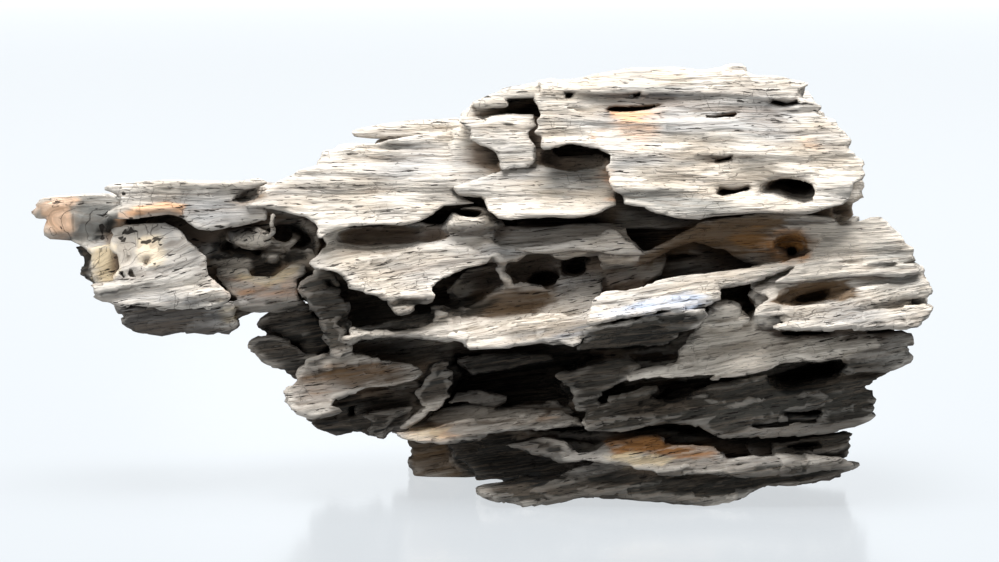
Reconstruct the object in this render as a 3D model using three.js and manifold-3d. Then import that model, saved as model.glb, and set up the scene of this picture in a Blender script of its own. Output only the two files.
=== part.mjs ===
// A piece of honeycomb wood: one weathered, tunnelled block with a long tail, lying on three feet.
// Millimetres, +Z up, +X along the grain from the tail to the shelves, the front face towards -Y.
// The block is one solid, described by a distance field: ledges, strands and boulders are joined
// with soft fillets, hollows are cut out of them, and the surface is meshed and then thinned out.
import * as THREE from "three";
import { mergeVertices } from "three/addons/utils/BufferGeometryUtils.js";
import Module from "manifold-3d";

// Driving dimensions
const LENGTH = 450; // from the tip of the tail to the end of the longest shelf
const DEPTH_SCALE = 1.0; // stretches every depth below
const VIEW_DISTANCE = 1500; // from which the front outlines were drawn
const VIEW_TILT = THREE.MathUtils.degToRad(8); // how far above the horizon they were drawn from

// The front view's frame, in its own pixels. All outlines below are in these pixels.
const FRAME_CENTRE_PX = [499.5, 281];
const TAIL_TIP_PX = 31;
const SHELF_END_PX = 932;
const FLOOR_AT_MIDDLE_PX = 486.3; // where the floor under the block's middle plane is seen
const MM_PER_PX = LENGTH / (SHELF_END_PX - TAIL_TIP_PX);

// How the surface is made
const CELL = 2.1; // grid spacing of the distance field
const FIELD_LOW = [-246, -84, -5];
const FIELD_HIGH = [232, 86, 222];
const OUTSIDE = 14; // distance held where no form is near
const TRIANGLES = 11400; // left after thinning
const FILLET = 3.2; // soft join between forms
const RIM = 2.4; // rounding of a hollow's mouth
const BITE = 0.55; // how far an undercut goes into a slab, as a share of the slab's slimness
const BITE_RANGE = [0.5, 7]; // and in mm
const WANDER = 1.5; // how far the weathered edges stray from their outlines
const GRAIN_RELIEF = 0.8; // height of the ridges along the grain
const WOOD_COLOUR = 0xb3a695;

// Forms

// A slab seen from the front as its outline. near is the depth of its nearest edge; its face leans
// back by lean mm for each mm of rise (a negative lean recedes downwards instead); far is its back.
// undercut is how fast the slab shrinks behind its face, all round, until its bite is taken.
const ledge = (name, near, far, lean, px, undercut = 0.45, round = 2.2) =>
  ({ kind: "slab", cut: false, facing: 1, name, near, far, lean, px, undercut, round, drift: [0, 0] });

// The same on the far side, where face is the depth of its outermost edge and root is its inner end.
const farLedge = (name, face, root, lean, px, undercut = 0.5, round = 2.6) =>
  ({ ...ledge(name, -face, -root, lean, px, undercut, round), facing: -1 });

// A cavity with that outline at its mouth. drift moves it sideways and down for each mm of depth.
const hollow = (name, near, far, px, drift = [0, 0], narrowing = 0.18, round = 5) =>
  ({ ...ledge(name, near, far, 0, px, narrowing, round), cut: true, drift });

// A round strand of that radius through points [px, py, depth].
const strand = (name, radius, points) => ({ kind: "strand", cut: false, name, radius, points });
const groove = (name, radius, points) => ({ kind: "strand", cut: true, name, radius, points });

// An ellipsoid at [px, py, depth], with half sizes across, down and deep, turned by some degrees.
const boulder = (name, at, half, turn = 0) => ({ kind: "boulder", cut: false, name, at, half, turn });
const pocket = (name, at, half, turn = 0) => ({ kind: "boulder", cut: true, name, at, half, turn });

// The heart of the block, behind everything that is seen from the front.
const HEART = [
  ledge("tail_heart", 0, 26, 0.1, [
    [100, 194], [150, 188], [220, 186], [280, 186], [320, 200], [320, 300], [270, 304], [236, 318],
    [190, 326], [140, 320], [110, 300], [98, 280], [96, 240],
  ], 0.1),
  ledge("upper_heart", 6, 40, 0.25, [
    [290, 192], [330, 160], [380, 140], [450, 130], [490, 108], [600, 82], [740, 76], [800, 92],
    [850, 160], [858, 200], [840, 240], [800, 280], [560, 290], [400, 290], [330, 280], [300, 240],
  ], 0.25),
  ledge("lower_heart", 2, 38, 0.1, [
    [330, 270], [600, 250], [860, 235], [895, 270], [905, 310], [890, 350], [850, 400], [800, 440],
    [740, 462], [620, 466], [520, 456], [440, 436], [390, 400], [330, 380], [310, 330],
  ], 0.2),
];

// The tail, from its forked tip to the window where it meets the block.
const TAIL = [
  ledge("tail_tip", -6, 14, 0.12, [
    [31, 212], [34, 205], [46, 198], [62, 196], [86, 194], [110, 193], [130, 205], [128, 240],
    [108, 248], [84, 247], [71, 241], [50, 240], [43, 233], [40, 226], [48, 219], [38, 219],
  ], 0.2, 1.6),
  ledge("tail_end_grain", -12, 18, 0.1, [
    [84, 248], [108, 243], [130, 246], [140, 284], [110, 290], [90, 284], [88, 270], [90, 256],
  ], 0.2),
  ledge("tail_end_shadow", 4, 24, 0, [
    [76, 246], [100, 246], [100, 284], [86, 282], [81, 275], [83, 266], [82, 256],
  ], 0.1),
  ledge("tail_upper", -27, 12, 0.35, [
    [98, 188], [112, 183], [150, 180], [200, 179], [235, 179], [256, 177], [269, 181], [268, 190],
    [262, 205], [268, 214], [266, 222], [240, 228], [214, 233], [198, 232], [186, 222], [168, 218],
    [146, 219], [122, 222], [109, 219], [104, 213], [120, 202], [110, 194],
  ], 0.5),
  ledge("tail_lower", -34, 14, 0.32, [
    [112, 227], [140, 222], [162, 221], [178, 228], [192, 242], [204, 254], [212, 268], [214, 276],
    [226, 288], [230, 294], [226, 303], [205, 310], [170, 309], [140, 309], [116, 307], [98, 301],
    [90, 291], [92, 284], [112, 280], [118, 266], [110, 248],
  ], 0.5),
  ledge("tail_under", -24, 16, -0.55, [
    [112, 304], [160, 306], [226, 302], [236, 310], [239, 318], [238, 329], [231, 336], [200, 334],
    [165, 338], [134, 334], [125, 322],
  ], 0.2),
  groove("tail_crevice", 3.4, [
    [92, 196, -6], [112, 200, -12], [122, 196, -16],
  ]),
  groove("tail_split", 2.2, [
    [98, 234, -8], [112, 225, -20], [140, 220, -28], [168, 220, -32], [184, 228, -32], [204, 246, -28],
  ]),
  ledge("sill", -20, 20, 0.55, [
    [212, 266], [246, 267], [254, 276], [272, 276], [290, 262], [306, 262], [304, 276], [300, 284],
    [300, 298], [312, 304], [290, 308], [244, 311], [230, 302], [228, 292], [214, 276],
  ], 0.4),
  hollow("window", -32, 20, [
    [206, 256], [209, 244], [217, 235], [234, 229], [262, 224], [272, 218], [290, 218], [303, 222],
    [312, 232], [317, 242], [314, 252], [304, 260], [284, 262], [272, 273], [256, 275], [246, 267],
    [226, 265], [212, 262],
  ], [0.05, -0.05], 0.12, 6),
  boulder("window_bowl", [250, 238, 4], [12, 5.5, 12], -8),
  boulder("window_knob", [274, 258, 6], [8, 5, 12], 10),
  strand("window_septum", 2.2, [[276, 243, 0], [290, 242, 4], [297, 236, 12], [290, 228, 24]]),
  strand("window_loop", 2.0, [
    [258, 240, 0], [268, 236, -5], [273, 230, -7], [272, 223, -7], [278, 214, -4],
  ]),
];

// The upper block: the broad weathered face, in its broken sheets.
const UPPER = [
  ledge("shoulder_sheet", -36, 24, 0.62, [
    [243, 208], [253, 199], [266, 193], [271, 182], [284, 177], [300, 166], [316, 163], [319, 150],
    [333, 147], [342, 142], [380, 140], [456, 126], [462, 138], [466, 150], [480, 157], [496, 164],
    [499, 171], [492, 179], [470, 183], [488, 194], [487, 204], [462, 207], [444, 208], [432, 215],
    [416, 224], [404, 227], [384, 227], [350, 229], [336, 231], [322, 242], [317, 238], [312, 226],
    [304, 218], [290, 214], [270, 211], [248, 211],
  ], 0.55),
  hollow("beak_gap", -40, -8, [
    [220, 201], [234, 195], [247, 189], [260, 182], [270, 181], [266, 190], [252, 202], [240, 206],
  ], [0, 0], 0.05, 1.6),
  ledge("shoulder_scale", 4, 34, 0.5, [
    [348, 131], [356, 127], [380, 122], [410, 119], [460, 117], [464, 126], [440, 136], [380, 138],
    [362, 138], [350, 137],
  ], 0.4, 1.6),
  ledge("crown_back", 0, 56, 0.34, [
    [458, 122], [466, 112], [480, 100], [600, 80], [740, 72], [808, 92], [818, 112], [842, 140],
    [860, 168], [862, 196], [854, 206], [856, 220], [836, 222], [700, 230], [520, 226], [480, 170],
  ], 0.2),
  ledge("crown_left_sheet", -24, 24, 0.5, [
    [458, 122], [466, 116], [500, 112], [534, 112], [536, 126], [532, 136], [538, 150], [530, 168],
    [500, 172], [499, 160], [492, 152], [478, 146], [468, 138],
  ], 0.4),
  ledge("crown_left_back", -18, 30, 0.45, [
    [452, 130], [470, 118], [520, 114], [548, 120], [560, 160], [530, 190], [470, 190], [452, 160],
  ], 0.1),
  ledge("brow", -14, 34, 0.6, [
    [469, 106], [472, 101], [482, 97], [510, 86], [540, 80], [560, 78], [560, 98], [536, 99],
    [512, 100], [508, 109], [490, 112], [478, 112],
  ], 0.3),
  ledge("centre_sheet", -40, 20, 0.82, [
    [450, 184], [470, 178], [500, 170], [506, 156], [536, 148], [600, 148], [618, 166], [619, 208],
    [600, 215], [576, 220], [556, 219], [530, 220], [506, 223], [496, 223], [488, 212], [486, 203],
    [452, 199],
  ], 0.5),
  ledge("crown", -50, 30, 0.56, [
    [536, 81], [570, 76], [600, 71], [630, 67], [660, 65], [715, 66], [730, 63], [741, 63],
    [756, 74], [783, 74], [806, 80], [814, 86], [810, 92], [817, 96], [816, 102], [823, 112],
    [836, 121], [846, 131], [852, 143], [854, 149], [866, 163], [872, 175], [866, 181], [856, 184],
    [854, 199], [838, 208], [815, 214], [790, 214], [765, 215], [740, 217], [716, 219], [700, 223],
    [680, 221], [656, 216], [640, 209], [619, 205], [617, 196], [606, 182], [609, 168], [604, 156],
    [596, 150], [570, 152], [546, 152], [541, 148], [538, 136], [531, 132], [536, 116], [534, 100],
  ], 0.5),
  pocket("crown_pocket", [570, 156, -16], [18, 8, 15], 0),
  hollow("brow_slot", -30, 8, [
    [474, 112], [484, 116], [500, 112], [514, 102], [538, 100], [534, 115], [516, 114], [502, 120],
    [484, 124],
  ], [0, -0.05], 0.05, 2.5),
  groove("sheet_crack", 2.4, [
    [460, 122, -14], [467, 138, -18], [471, 150, -22], [486, 157, -24], [500, 164, -26],
  ]),
  hollow("crown_eye", -46, 22, [
    [757, 190], [766, 182], [782, 180], [800, 180], [814, 186], [817, 194], [812, 204], [800, 208],
    [786, 205], [772, 199], [760, 197],
  ], [0.1, -0.1], 0.1, 5),
  hollow("crown_slit", -46, -16, [
    [713, 194], [719, 188], [736, 190], [749, 186], [752, 191], [738, 196], [722, 197],
  ], [0, -0.05], 0.05, 1.2),
  hollow("crown_slot", -24, 0, [
    [606, 108], [619, 104], [643, 107], [662, 106], [648, 113], [628, 113], [609, 112],
  ], [0, -0.05], 0.05, 1.2),
  hollow("temple_slot", -24, 0, [
    [762, 104], [770, 99], [784, 102], [797, 100], [800, 106], [780, 108],
  ], [0, -0.05], 0.05, 1.2),
  groove("temple_notch", 3, [[800, 95, -18], [806, 92, -10], [814, 92, 0]]),
  hollow("cheek_slot", -36, -4, [
    [447, 190], [458, 195], [482, 197], [489, 202], [484, 206], [462, 204], [452, 200],
  ], [0, -0.1], 0.05, 1.6),
  pocket("crown_end", [846, 214, -6], [9, 7, 22], -20),
];

// The middle: the pointed lobe, the hollows under the upper sheets, the blade and the long shelf.
const MIDDLE = [
  ledge("lobe", -54, 8, 0.75, [
    [305, 263], [312, 256], [320, 246], [334, 242], [352, 248], [390, 249], [430, 244], [470, 246],
    [494, 254], [486, 263], [462, 270], [442, 280], [433, 290], [437, 300], [431, 307], [416, 306],
    [409, 315], [398, 318], [389, 310], [380, 298], [364, 292], [350, 288], [342, 278], [330, 271],
    [312, 269],
  ], 0.55),
  ledge("lobe_root", -27, 20, 0.3, [
    [320, 230], [420, 222], [500, 224], [620, 222], [640, 250], [560, 262], [520, 262], [470, 262],
    [400, 262], [330, 262],
  ], 0.1),
  pocket("lobe_hollow", [384, 236, -24], [25, 5.2, 13], 2),
  pocket("lobe_bay", [438, 229, -24], [13, 6.5, 12], 14),
  boulder("bowl", [470, 224, -14], [14, 8, 16], 8),
  hollow("bowl_eye", -32, 26, [
    [451, 209], [470, 208], [486, 210], [480, 216], [468, 220], [456, 217],
  ], [0, 0.05], 0.03, 2.5),
  groove("long_flute", 6.4, [[506, 232, -22], [540, 230, -20], [580, 230, -20], [612, 226, -18]]),
  ledge("pillar", -34, 2, 0.3, [
    [512, 247], [536, 244], [566, 242], [600, 236], [606, 230], [616, 229], [630, 242], [640, 250],
    [656, 255], [620, 255], [580, 253], [540, 253], [514, 251],
  ], 0.3, 1.6),
  hollow("right_flute", -36, 6, [
    [622, 214], [640, 214], [664, 226], [668, 238], [650, 244], [640, 246], [634, 232], [620, 222],
  ], [0.1, 0], 0.12, 4),
  ledge("arch", -36, 20, -0.35, [
    [600, 256], [640, 252], [668, 240], [700, 222], [760, 214], [800, 212], [836, 218], [840, 226],
    [816, 250], [792, 262], [760, 266], [740, 262], [720, 250], [696, 244], [672, 250], [656, 262],
    [630, 268], [600, 270],
  ], 0.25),
  hollow("arch_mouth", -40, 34, [
    [640, 286], [654, 270], [674, 258], [696, 254], [716, 256], [740, 266], [744, 272], [690, 284],
  ], [-0.1, -0.12], 0.1, 6),
  ledge("honey_cup", -34, 20, -0.25, [
    [780, 218], [830, 216], [842, 232], [812, 262], [780, 264], [764, 246],
  ], 0.2),
  pocket("honey_funnel", [792, 247, -34], [8.5, 6, 11], -8),
  pocket("honey_hole", [793, 252, -22], [3.2, 2.4, 12], 0),
  ledge("trough", -46, 12, 1.05, [
    [446, 284], [470, 268], [500, 256], [530, 250], [572, 252], [596, 260], [606, 290], [600, 322],
    [540, 330], [460, 336], [420, 334], [350, 336], [345, 322], [440, 306],
  ], 0.2),
  pocket("left_den", [449, 299, -20], [7.5, 4.2, 20], -6),
  pocket("left_flute", [474, 286, -18], [19, 9, 13], 24),
  pocket("arcade", [534, 270, -16], [16, 11, 14], 4),
  pocket("arcade_den", [544, 280, -6], [9, 4.4, 22], 0),
  pocket("second_den", [577, 266, -10], [7.5, 5.5, 20], 20),
  strand("dividing_fin", 2.2, [[496, 256, -28], [501, 270, -22], [506, 288, -24]]),
  strand("eye_lid", 1.6, [
    [506, 292, -24], [520, 288, -21], [536, 289, -21], [550, 296, -24], [556, 304, -28],
  ]),
  ledge("back_wall", -14, 20, 0.2, [
    [590, 256], [650, 258], [668, 250], [660, 276], [640, 292], [600, 292], [584, 286],
  ], 0.1),
  ledge("long_shelf", -66, 8, 0.85, [
    [445, 338], [452, 333], [480, 328], [504, 320], [540, 314], [572, 312], [600, 306], [598, 324],
    [588, 334], [582, 344], [574, 349], [560, 347], [520, 348], [490, 350], [466, 352], [462, 346],
    [448, 343],
  ], 0.6),
  pocket("knot_hole", [575, 313, -42], [6.5, 2.5, 10], 6),
  ledge("rail", -48, 0, 0.4, [
    [340, 340], [360, 334], [400, 331], [450, 333], [454, 340], [400, 337], [360, 338], [344, 346],
  ], 0.3, 1.4),
  pocket("trough_bowl", [504, 300, -34], [34, 8.5, 13], 6),
  pocket("trough_shade", [388, 320, -30], [26, 8, 16], 2),
  hollow("rail_den", -40, 26, [
    [346, 300], [358, 294], [376, 296], [388, 308], [392, 318], [372, 308], [352, 304],
  ], [0, 0], 0.1, 4),
  ledge("blade", -74, 4, 0.95, [
    [586, 312], [592, 300], [604, 293], [640, 287], [660, 279], [700, 272], [750, 265], [800, 258],
    [800, 266], [776, 274], [757, 283], [738, 287], [722, 291], [719, 299], [715, 305], [698, 309],
    [660, 314], [630, 320], [604, 324], [582, 328],
  ], 0.5),
  ledge("blade_keel", -70, 2, -0.9, [
    [580, 328], [620, 320], [680, 311], [716, 305], [706, 314], [700, 326], [682, 332], [664, 345],
    [620, 347], [592, 348], [574, 350], [584, 340],
  ], 0.3),
  ledge("pebble", -48, 0, 0.25, [
    [702, 318], [712, 305], [736, 303], [742, 313], [748, 319], [742, 327], [720, 330], [698, 328],
  ], 0.3, 4),
  hollow("blade_notch", -58, 14, [
    [722, 292], [742, 286], [758, 294], [762, 300], [750, 301], [736, 300], [724, 301],
  ], [0, -0.1], 0.05, 3),
  hollow("pebble_den", -50, 30, [
    [737, 305], [748, 300], [757, 303], [758, 309], [748, 315], [740, 311],
  ], [0, 0], 0.05, 3),
];

// The right-hand shelves, which end in broken fingers of different lengths.
const SHELVES = [
  ledge("shelf_backing", -40, 12, 0.1, [
    [752, 268], [800, 256], [900, 256], [922, 268], [926, 318], [900, 328], [770, 330], [748, 320],
  ], 0.1),
  ledge("shelf_one", -44, 26, 0.5, [
    [812, 250], [824, 236], [838, 226], [850, 223], [864, 220], [875, 216], [884, 215], [889, 222],
    [900, 233], [906, 243], [913, 244], [915, 252], [915, 261], [900, 263], [872, 266], [850, 264],
    [800, 268], [790, 262],
  ], 0.2),
  ledge("shelf_two", -58, 20, 0.75, [
    [752, 290], [762, 282], [790, 268], [830, 262], [868, 268], [915, 264], [921, 269], [928, 283],
    [931, 291], [926, 298], [900, 300], [870, 303], [830, 309], [800, 313], [770, 317], [748, 318],
    [752, 310], [770, 300],
  ], 0.25),
  groove("shelf_gap_one", 1.5, [[872, 265, -46], [890, 264, -44], [916, 262, -40], [924, 262, 0]]),
  pocket("long_den", [813, 294, -52], [20, 6, 11], 9),
  pocket("long_den_deep", [814, 297, -40], [9, 3, 16], 9),
  groove("shelf_gap_two", 1.5, [
    [772, 323, -58], [800, 318, -58], [850, 309, -58], [900, 304, -54], [934, 300, -50],
  ]),
  groove("shelf_gap_deep", 1.8, [[888, 305, -40], [906, 303, -20], [930, 301, 10], [930, 298, 50]]),
  ledge("shelf_three", -62, 24, 0.6, [
    [762, 326], [800, 320], [824, 313], [860, 309], [900, 305], [926, 302], [932, 308], [931, 317],
    [925, 321], [923, 328], [890, 330], [850, 332], [810, 333], [784, 332],
  ], 0.25),
  ledge("bright_facet", -52, 6, 0.62, [
    [672, 352], [688, 338], [700, 326], [704, 312], [716, 304], [738, 302], [750, 318], [762, 323],
    [790, 334], [830, 340], [800, 352], [760, 362], [720, 372], [660, 380], [624, 382], [628, 374],
    [660, 368], [676, 362],
  ], 0.4),
  pocket("facet_shadow", [776, 339, -52], [10, 3.4, 12], 8),
  ledge("shelf_four", -50, 24, 0.45, [
    [800, 334], [860, 328], [917, 331], [918, 336], [916, 344], [909, 346], [911, 357], [908, 363],
    [890, 370], [850, 374], [800, 366], [760, 372], [700, 384], [720, 366], [780, 350],
  ], 0.4),
  hollow("finger_cave", -56, 10, [
    [866, 331], [884, 328], [906, 328], [914, 331], [896, 336], [874, 337],
  ], [0, -0.1], 0.05, 2.5),
  groove("shelf_gap_three", 1.9, [[820, 351, -52], [860, 346, -52], [890, 341, -50], [918, 338, -42]]),
  ledge("shelf_five", -52, 24, 0.4, [
    [640, 398], [700, 386], [760, 374], [850, 364], [898, 367], [884, 377], [868, 387], [871, 393],
    [878, 401], [877, 417], [862, 426], [830, 433], [780, 438], [720, 440], [690, 424], [650, 426],
    [600, 430],
  ], 0.4),
  hollow("black_den", -48, 34, [
    [764, 378], [784, 371], [820, 362], [842, 358], [848, 365], [836, 382], [816, 390], [796, 393],
    [778, 390], [767, 384],
  ], [0, -0.05], 0.06, 5),
  hollow("low_slot", -48, 16, [
    [782, 410], [800, 411], [822, 408], [826, 413], [808, 418], [790, 419],
  ], [0, -0.1], 0.05, 2.5),
  groove("five_gap", 2.0, [[700, 402, -50], [760, 396, -52], [800, 398, -50]]),
  groove("six_gap", 2.6, [[700, 432, -44], [760, 428, -46], [830, 420, -44], [870, 412, -38]]),
  ledge("six_root", -22, 30, 0.1, [[750, 436], [846, 434], [848, 456], [800, 464], [750, 464]], 0.05),
  ledge("shelf_six", -44, 24, 0.3, [
    [770, 440], [830, 433], [851, 429], [849, 436], [851, 441], [848, 447], [836, 455], [800, 458],
    [770, 456],
  ], 0.3),
  hollow("six_den", -44, 0, [
    [780, 446], [800, 441], [820, 440], [826, 448], [812, 453], [790, 451],
  ], [0, 0], 0.1, 3),
];

// The lower left: dark lobes, the pale lobe and the web that carries them, with caves between.
const LOWER_LEFT = [
  ledge("web", -34, 16, 0.25, [
    [298, 296], [297, 288], [303, 280], [312, 268], [334, 270], [344, 282], [340, 296], [352, 304],
    [352, 330], [344, 340], [352, 352], [340, 360], [324, 356], [326, 344], [318, 322], [308, 304],
  ], 0.4),
  hollow("web_shade", -34, 4, [
    [320, 276], [332, 274], [344, 286], [340, 292], [326, 290],
  ], [0, 0], 0.15, 3),
  ledge("dark_lobe_upper", -6, 34, -0.25, [
    [255, 325], [260, 319], [267, 314], [280, 308], [310, 304], [326, 330], [326, 352], [305, 358],
    [296, 344], [282, 335], [268, 334], [259, 329],
  ], 0.25),
  ledge("dark_lobe_lower", -10, 34, -0.2, [
    [244, 347], [252, 339], [266, 336], [286, 338], [304, 352], [320, 352], [320, 376], [296, 378],
    [278, 368], [262, 362], [256, 354],
  ], 0.25),
  ledge("pale_lobe", -46, 20, 0.55, [
    [297, 378], [298, 369], [304, 361], [325, 354], [345, 348], [372, 356], [400, 362], [421, 369],
    [424, 376], [414, 383], [394, 388], [366, 391], [348, 394], [337, 399], [337, 406], [344, 411],
    [330, 418], [312, 421], [298, 416], [286, 406], [282, 398], [283, 390],
  ], 0.5),
  hollow("upper_cave", -44, 24, [
    [346, 342], [364, 339], [400, 337], [436, 341], [448, 348], [430, 360], [410, 364], [372, 356],
    [356, 350],
  ], [0.1, -0.05], 0.12, 5),
  ledge("cave_back", 4, 40, 0, [
    [308, 418], [318, 396], [344, 384], [380, 378], [414, 378], [430, 400], [424, 424], [398, 431],
    [388, 431], [382, 439], [362, 431], [350, 430], [334, 434], [320, 430],
  ], 0.05),
  ledge("lobe_back", 12, 38, 0, [
    [266, 320], [330, 300], [360, 330], [344, 380], [306, 384], [284, 368], [270, 344],
  ], 0.05),
  hollow("hook_cave", -44, 18, [
    [338, 402], [346, 395], [372, 392], [404, 390], [412, 398], [404, 406], [376, 408], [366, 410],
    [374, 420], [356, 426], [324, 428], [320, 420], [340, 414],
  ], [0, 0], 0.1, 4),
  ledge("hook", -26, 20, 0.2, [
    [359, 413], [376, 409], [412, 404], [414, 410], [398, 415], [392, 424], [392, 430], [382, 439],
    [366, 432], [374, 422], [366, 418],
  ], 0.3),
  ledge("curled_flake", -34, 10, -0.1, [
    [416, 392], [424, 388], [428, 380], [432, 368], [438, 362], [445, 358], [449, 364], [446, 370],
    [454, 372], [451, 379], [456, 384], [449, 390], [450, 397], [441, 400], [438, 407], [430, 414],
    [420, 420], [410, 429], [396, 431], [408, 420], [424, 406],
  ], 0.3, 1.0),
];

// The lower middle: the great cavity, the claws at its edges, and the band of honey wood.
const LOWER_MIDDLE = [
  hollow("great_cavity", 0, 26, [
    [450, 352], [500, 350], [560, 350], [607, 349], [612, 356], [592, 363], [576, 372], [562, 384],
    [573, 396], [568, 408], [520, 412], [470, 416], [436, 412], [450, 392], [456, 376],
  ], [0, 0.02], 0.12, 7),
  hollow("facet_cave", -10, 14, [
    [616, 350], [660, 347], [690, 352], [684, 360], [660, 366], [634, 362],
  ], [0, 0], 0.12, 4),
  ledge("inner_tongue", -14, 20, 0.5, [
    [456, 360], [500, 352], [546, 352], [560, 360], [500, 370], [470, 374],
  ], 0.2),
  ledge("inner_flake", -20, 24, 0.4, [
    [446, 404], [455, 392], [482, 389], [496, 394], [508, 396], [506, 402], [495, 408], [480, 404],
    [464, 401],
  ], 0.3, 1.4),
  ledge("claw", -50, 10, 0.45, [
    [553, 373], [561, 370], [576, 368], [592, 361], [608, 357], [626, 357], [644, 365], [640, 374],
    [618, 384], [606, 392], [600, 404], [590, 412], [572, 412], [574, 400], [570, 391], [560, 386],
  ], 0.45),
  strand("claw_thread", 1.4, [[608, 343, -60], [612, 352, -54], [619, 365, -46]]),
  ledge("low_claw", -56, 10, 0.55, [
    [581, 424], [584, 418], [588, 410], [604, 402], [612, 394], [630, 392], [650, 384], [680, 378],
    [700, 380], [712, 396], [730, 402], [706, 409], [680, 420], [650, 428], [620, 432], [588, 434],
    [584, 428],
  ], 0.5),
  hollow("claw_den", -50, 30, [
    [634, 408], [646, 394], [664, 384], [690, 379], [708, 379], [711, 388], [700, 396], [680, 404],
    [660, 410],
  ], [0.05, -0.05], 0.1, 5),
  ledge("amber_wedge", -44, 14, 0.55, [
    [396, 431], [420, 427], [450, 422], [490, 416], [530, 413], [560, 410], [584, 420], [588, 430],
    [560, 428], [520, 431], [494, 435], [478, 442], [446, 445], [414, 443], [400, 440],
  ], 0.5),
  hollow("wedge_cave", -30, 20, [
    [484, 440], [516, 432], [556, 429], [588, 434], [606, 442], [596, 450], [560, 446], [540, 438],
    [516, 443],
  ], [0, 0], 0.12, 4),
  ledge("tongue", -52, 12, 0.7, [
    [480, 443], [516, 441], [544, 436], [566, 442], [580, 451], [600, 452], [612, 460], [592, 461],
    [560, 464], [554, 460], [536, 456], [516, 448],
  ], 0.5),
  ledge("honey_band", -58, 14, 0.6, [
    [590, 452], [606, 440], [640, 432], [656, 432], [668, 442], [700, 443], [716, 443], [728, 456],
    [760, 454], [800, 454], [846, 458], [858, 462], [850, 470], [800, 474], [740, 478], [700, 476],
    [656, 476], [640, 471], [622, 465], [596, 462],
  ], 0.45),
  hollow("belly_cave", -40, 20, [
    [562, 467], [600, 464], [630, 467], [652, 475], [620, 479], [590, 478], [570, 474],
  ], [0, 0], 0.06, 3),
  groove("band_gap", 2.8, [[690, 478, -60], [740, 475, -60], [790, 471, -58]]),
  hollow("band_cave", -30, 24, [
    [670, 404], [700, 412], [740, 412], [780, 424], [760, 438], [720, 441], [690, 440], [672, 430],
    [640, 430],
  ], [0, 0], 0.2, 5),
];

// What the block stands on: the long bottom sheet, the stub behind it and a hidden heel.
const FEET = [
  ledge("bottom_sheet", -58, -16, 0.75, [
    [480, 491], [486, 487], [500, 485], [522, 479], [560, 477], [600, 480], [650, 476], [700, 474],
    [760, 472], [800, 467], [856, 463], [850, 470], [826, 478], [800, 482], [762, 485], [748, 491],
    [733, 500], [712, 504], [690, 503], [660, 499], [620, 498], [584, 495], [564, 500], [540, 505],
    [522, 505], [498, 500], [486, 496],
  ], 0),
  ledge("bottom_root", -46, -8, 0, [
    [560, 474], [600, 462], [700, 460], [780, 458], [800, 470], [740, 482], [640, 484], [580, 482],
  ], 0.05),
  ledge("back_root", -10, 44, 0, [
    [480, 430], [600, 430], [780, 430], [800, 440], [760, 456], [700, 462], [560, 462], [480, 452],
  ], 0.05),
  ledge("dark_mass", -8, 16, 0.1, [
    [452, 440], [500, 436], [560, 444], [600, 462], [590, 474], [556, 480], [512, 481], [500, 478],
    [476, 480], [472, 468], [458, 456],
  ], 0.1),
  ledge("stub", 16, 48, 0.1, [
    [409, 464], [412, 456], [414, 448], [410, 438], [450, 430], [480, 440], [478, 478], [460, 482],
    [430, 482], [414, 476],
  ], 0.05, 4),
  ledge("heel", 32, 64, 0, [
    [640, 430], [740, 430], [742, 462], [736, 486], [660, 488], [648, 462],
  ], 0.05, 4),
];

// The far side: rows of broken shelves along the grain, with dens between them. Each row runs
// between two ends and is split in pieces; a piece's edges are ragged by a fixed random rule.
const FAR_ROWS = [
  [520, 796, 2], [430, 824, 3], [330, 848, 3], [300, 846, 4], [322, 862, 3], [322, 900, 4],
  [336, 902, 3], [352, 876, 4], [392, 862, 3], [440, 812, 3],
];
const FAR_TOP_PX = 86; // where the first row begins
const FAR_PITCH_PX = 37;
const FAR_RISE = 0.11; // how fast the rows rise to the right
const FAR_FACE = 68;
const FAR_STEPS = 7; // points along each edge of a piece

function farShelves() {
  const shelves = [];
  FAR_ROWS.forEach(([left, right, pieces], row) => {
    const height = FAR_TOP_PX + (row + 0.5) * FAR_PITCH_PX;
    for (let piece = 0; piece < pieces; piece++) {
      const draw = (salt) => lattice(row, piece, salt);
      const share = (end) => (end + (end % pieces ? 0.25 * lattice(row, end, 5) : 0)) / pieces;
      const [start, stop] = [share(piece), share(piece + 1)].map((t) => left + t * (right - left));
      const thick = FAR_PITCH_PX * (0.5 + 0.12 * draw(1));
      const edge = (t, side, salt) => {
        const px = start + t * (stop - start);
        const taper = 0.45 + 0.55 * Math.min(1, 5 * t, 5 * (1 - t));
        const ragged = 1 + 0.3 * lattice(Math.round(t * FAR_STEPS), row * 7 + piece, salt);
        const rise = FAR_RISE * (px - (left + right) / 2);
        return [px, height - rise + side * thick * taper * ragged + 4 * draw(2)];
      };
      const along = [...Array(FAR_STEPS + 1).keys()].map((step) => step / FAR_STEPS);
      const outline = [
        ...along.map((t) => edge(t, -1, 3)),
        ...along.map((t) => edge(1 - t, 1, 4)),
      ];
      const slope = Math.abs(row - 4.5) / 4.5;
      const face = FAR_FACE + 7 * draw(6) - 20 * slope ** 2 - (row < 4 && piece === 0 ? 10 : 0);
      shelves.push(farLedge(`far_shelf_${row}_${piece}`, face, 10, 0.75 + 0.25 * draw(7), outline));
    }
  });
  return shelves;
}

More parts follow.
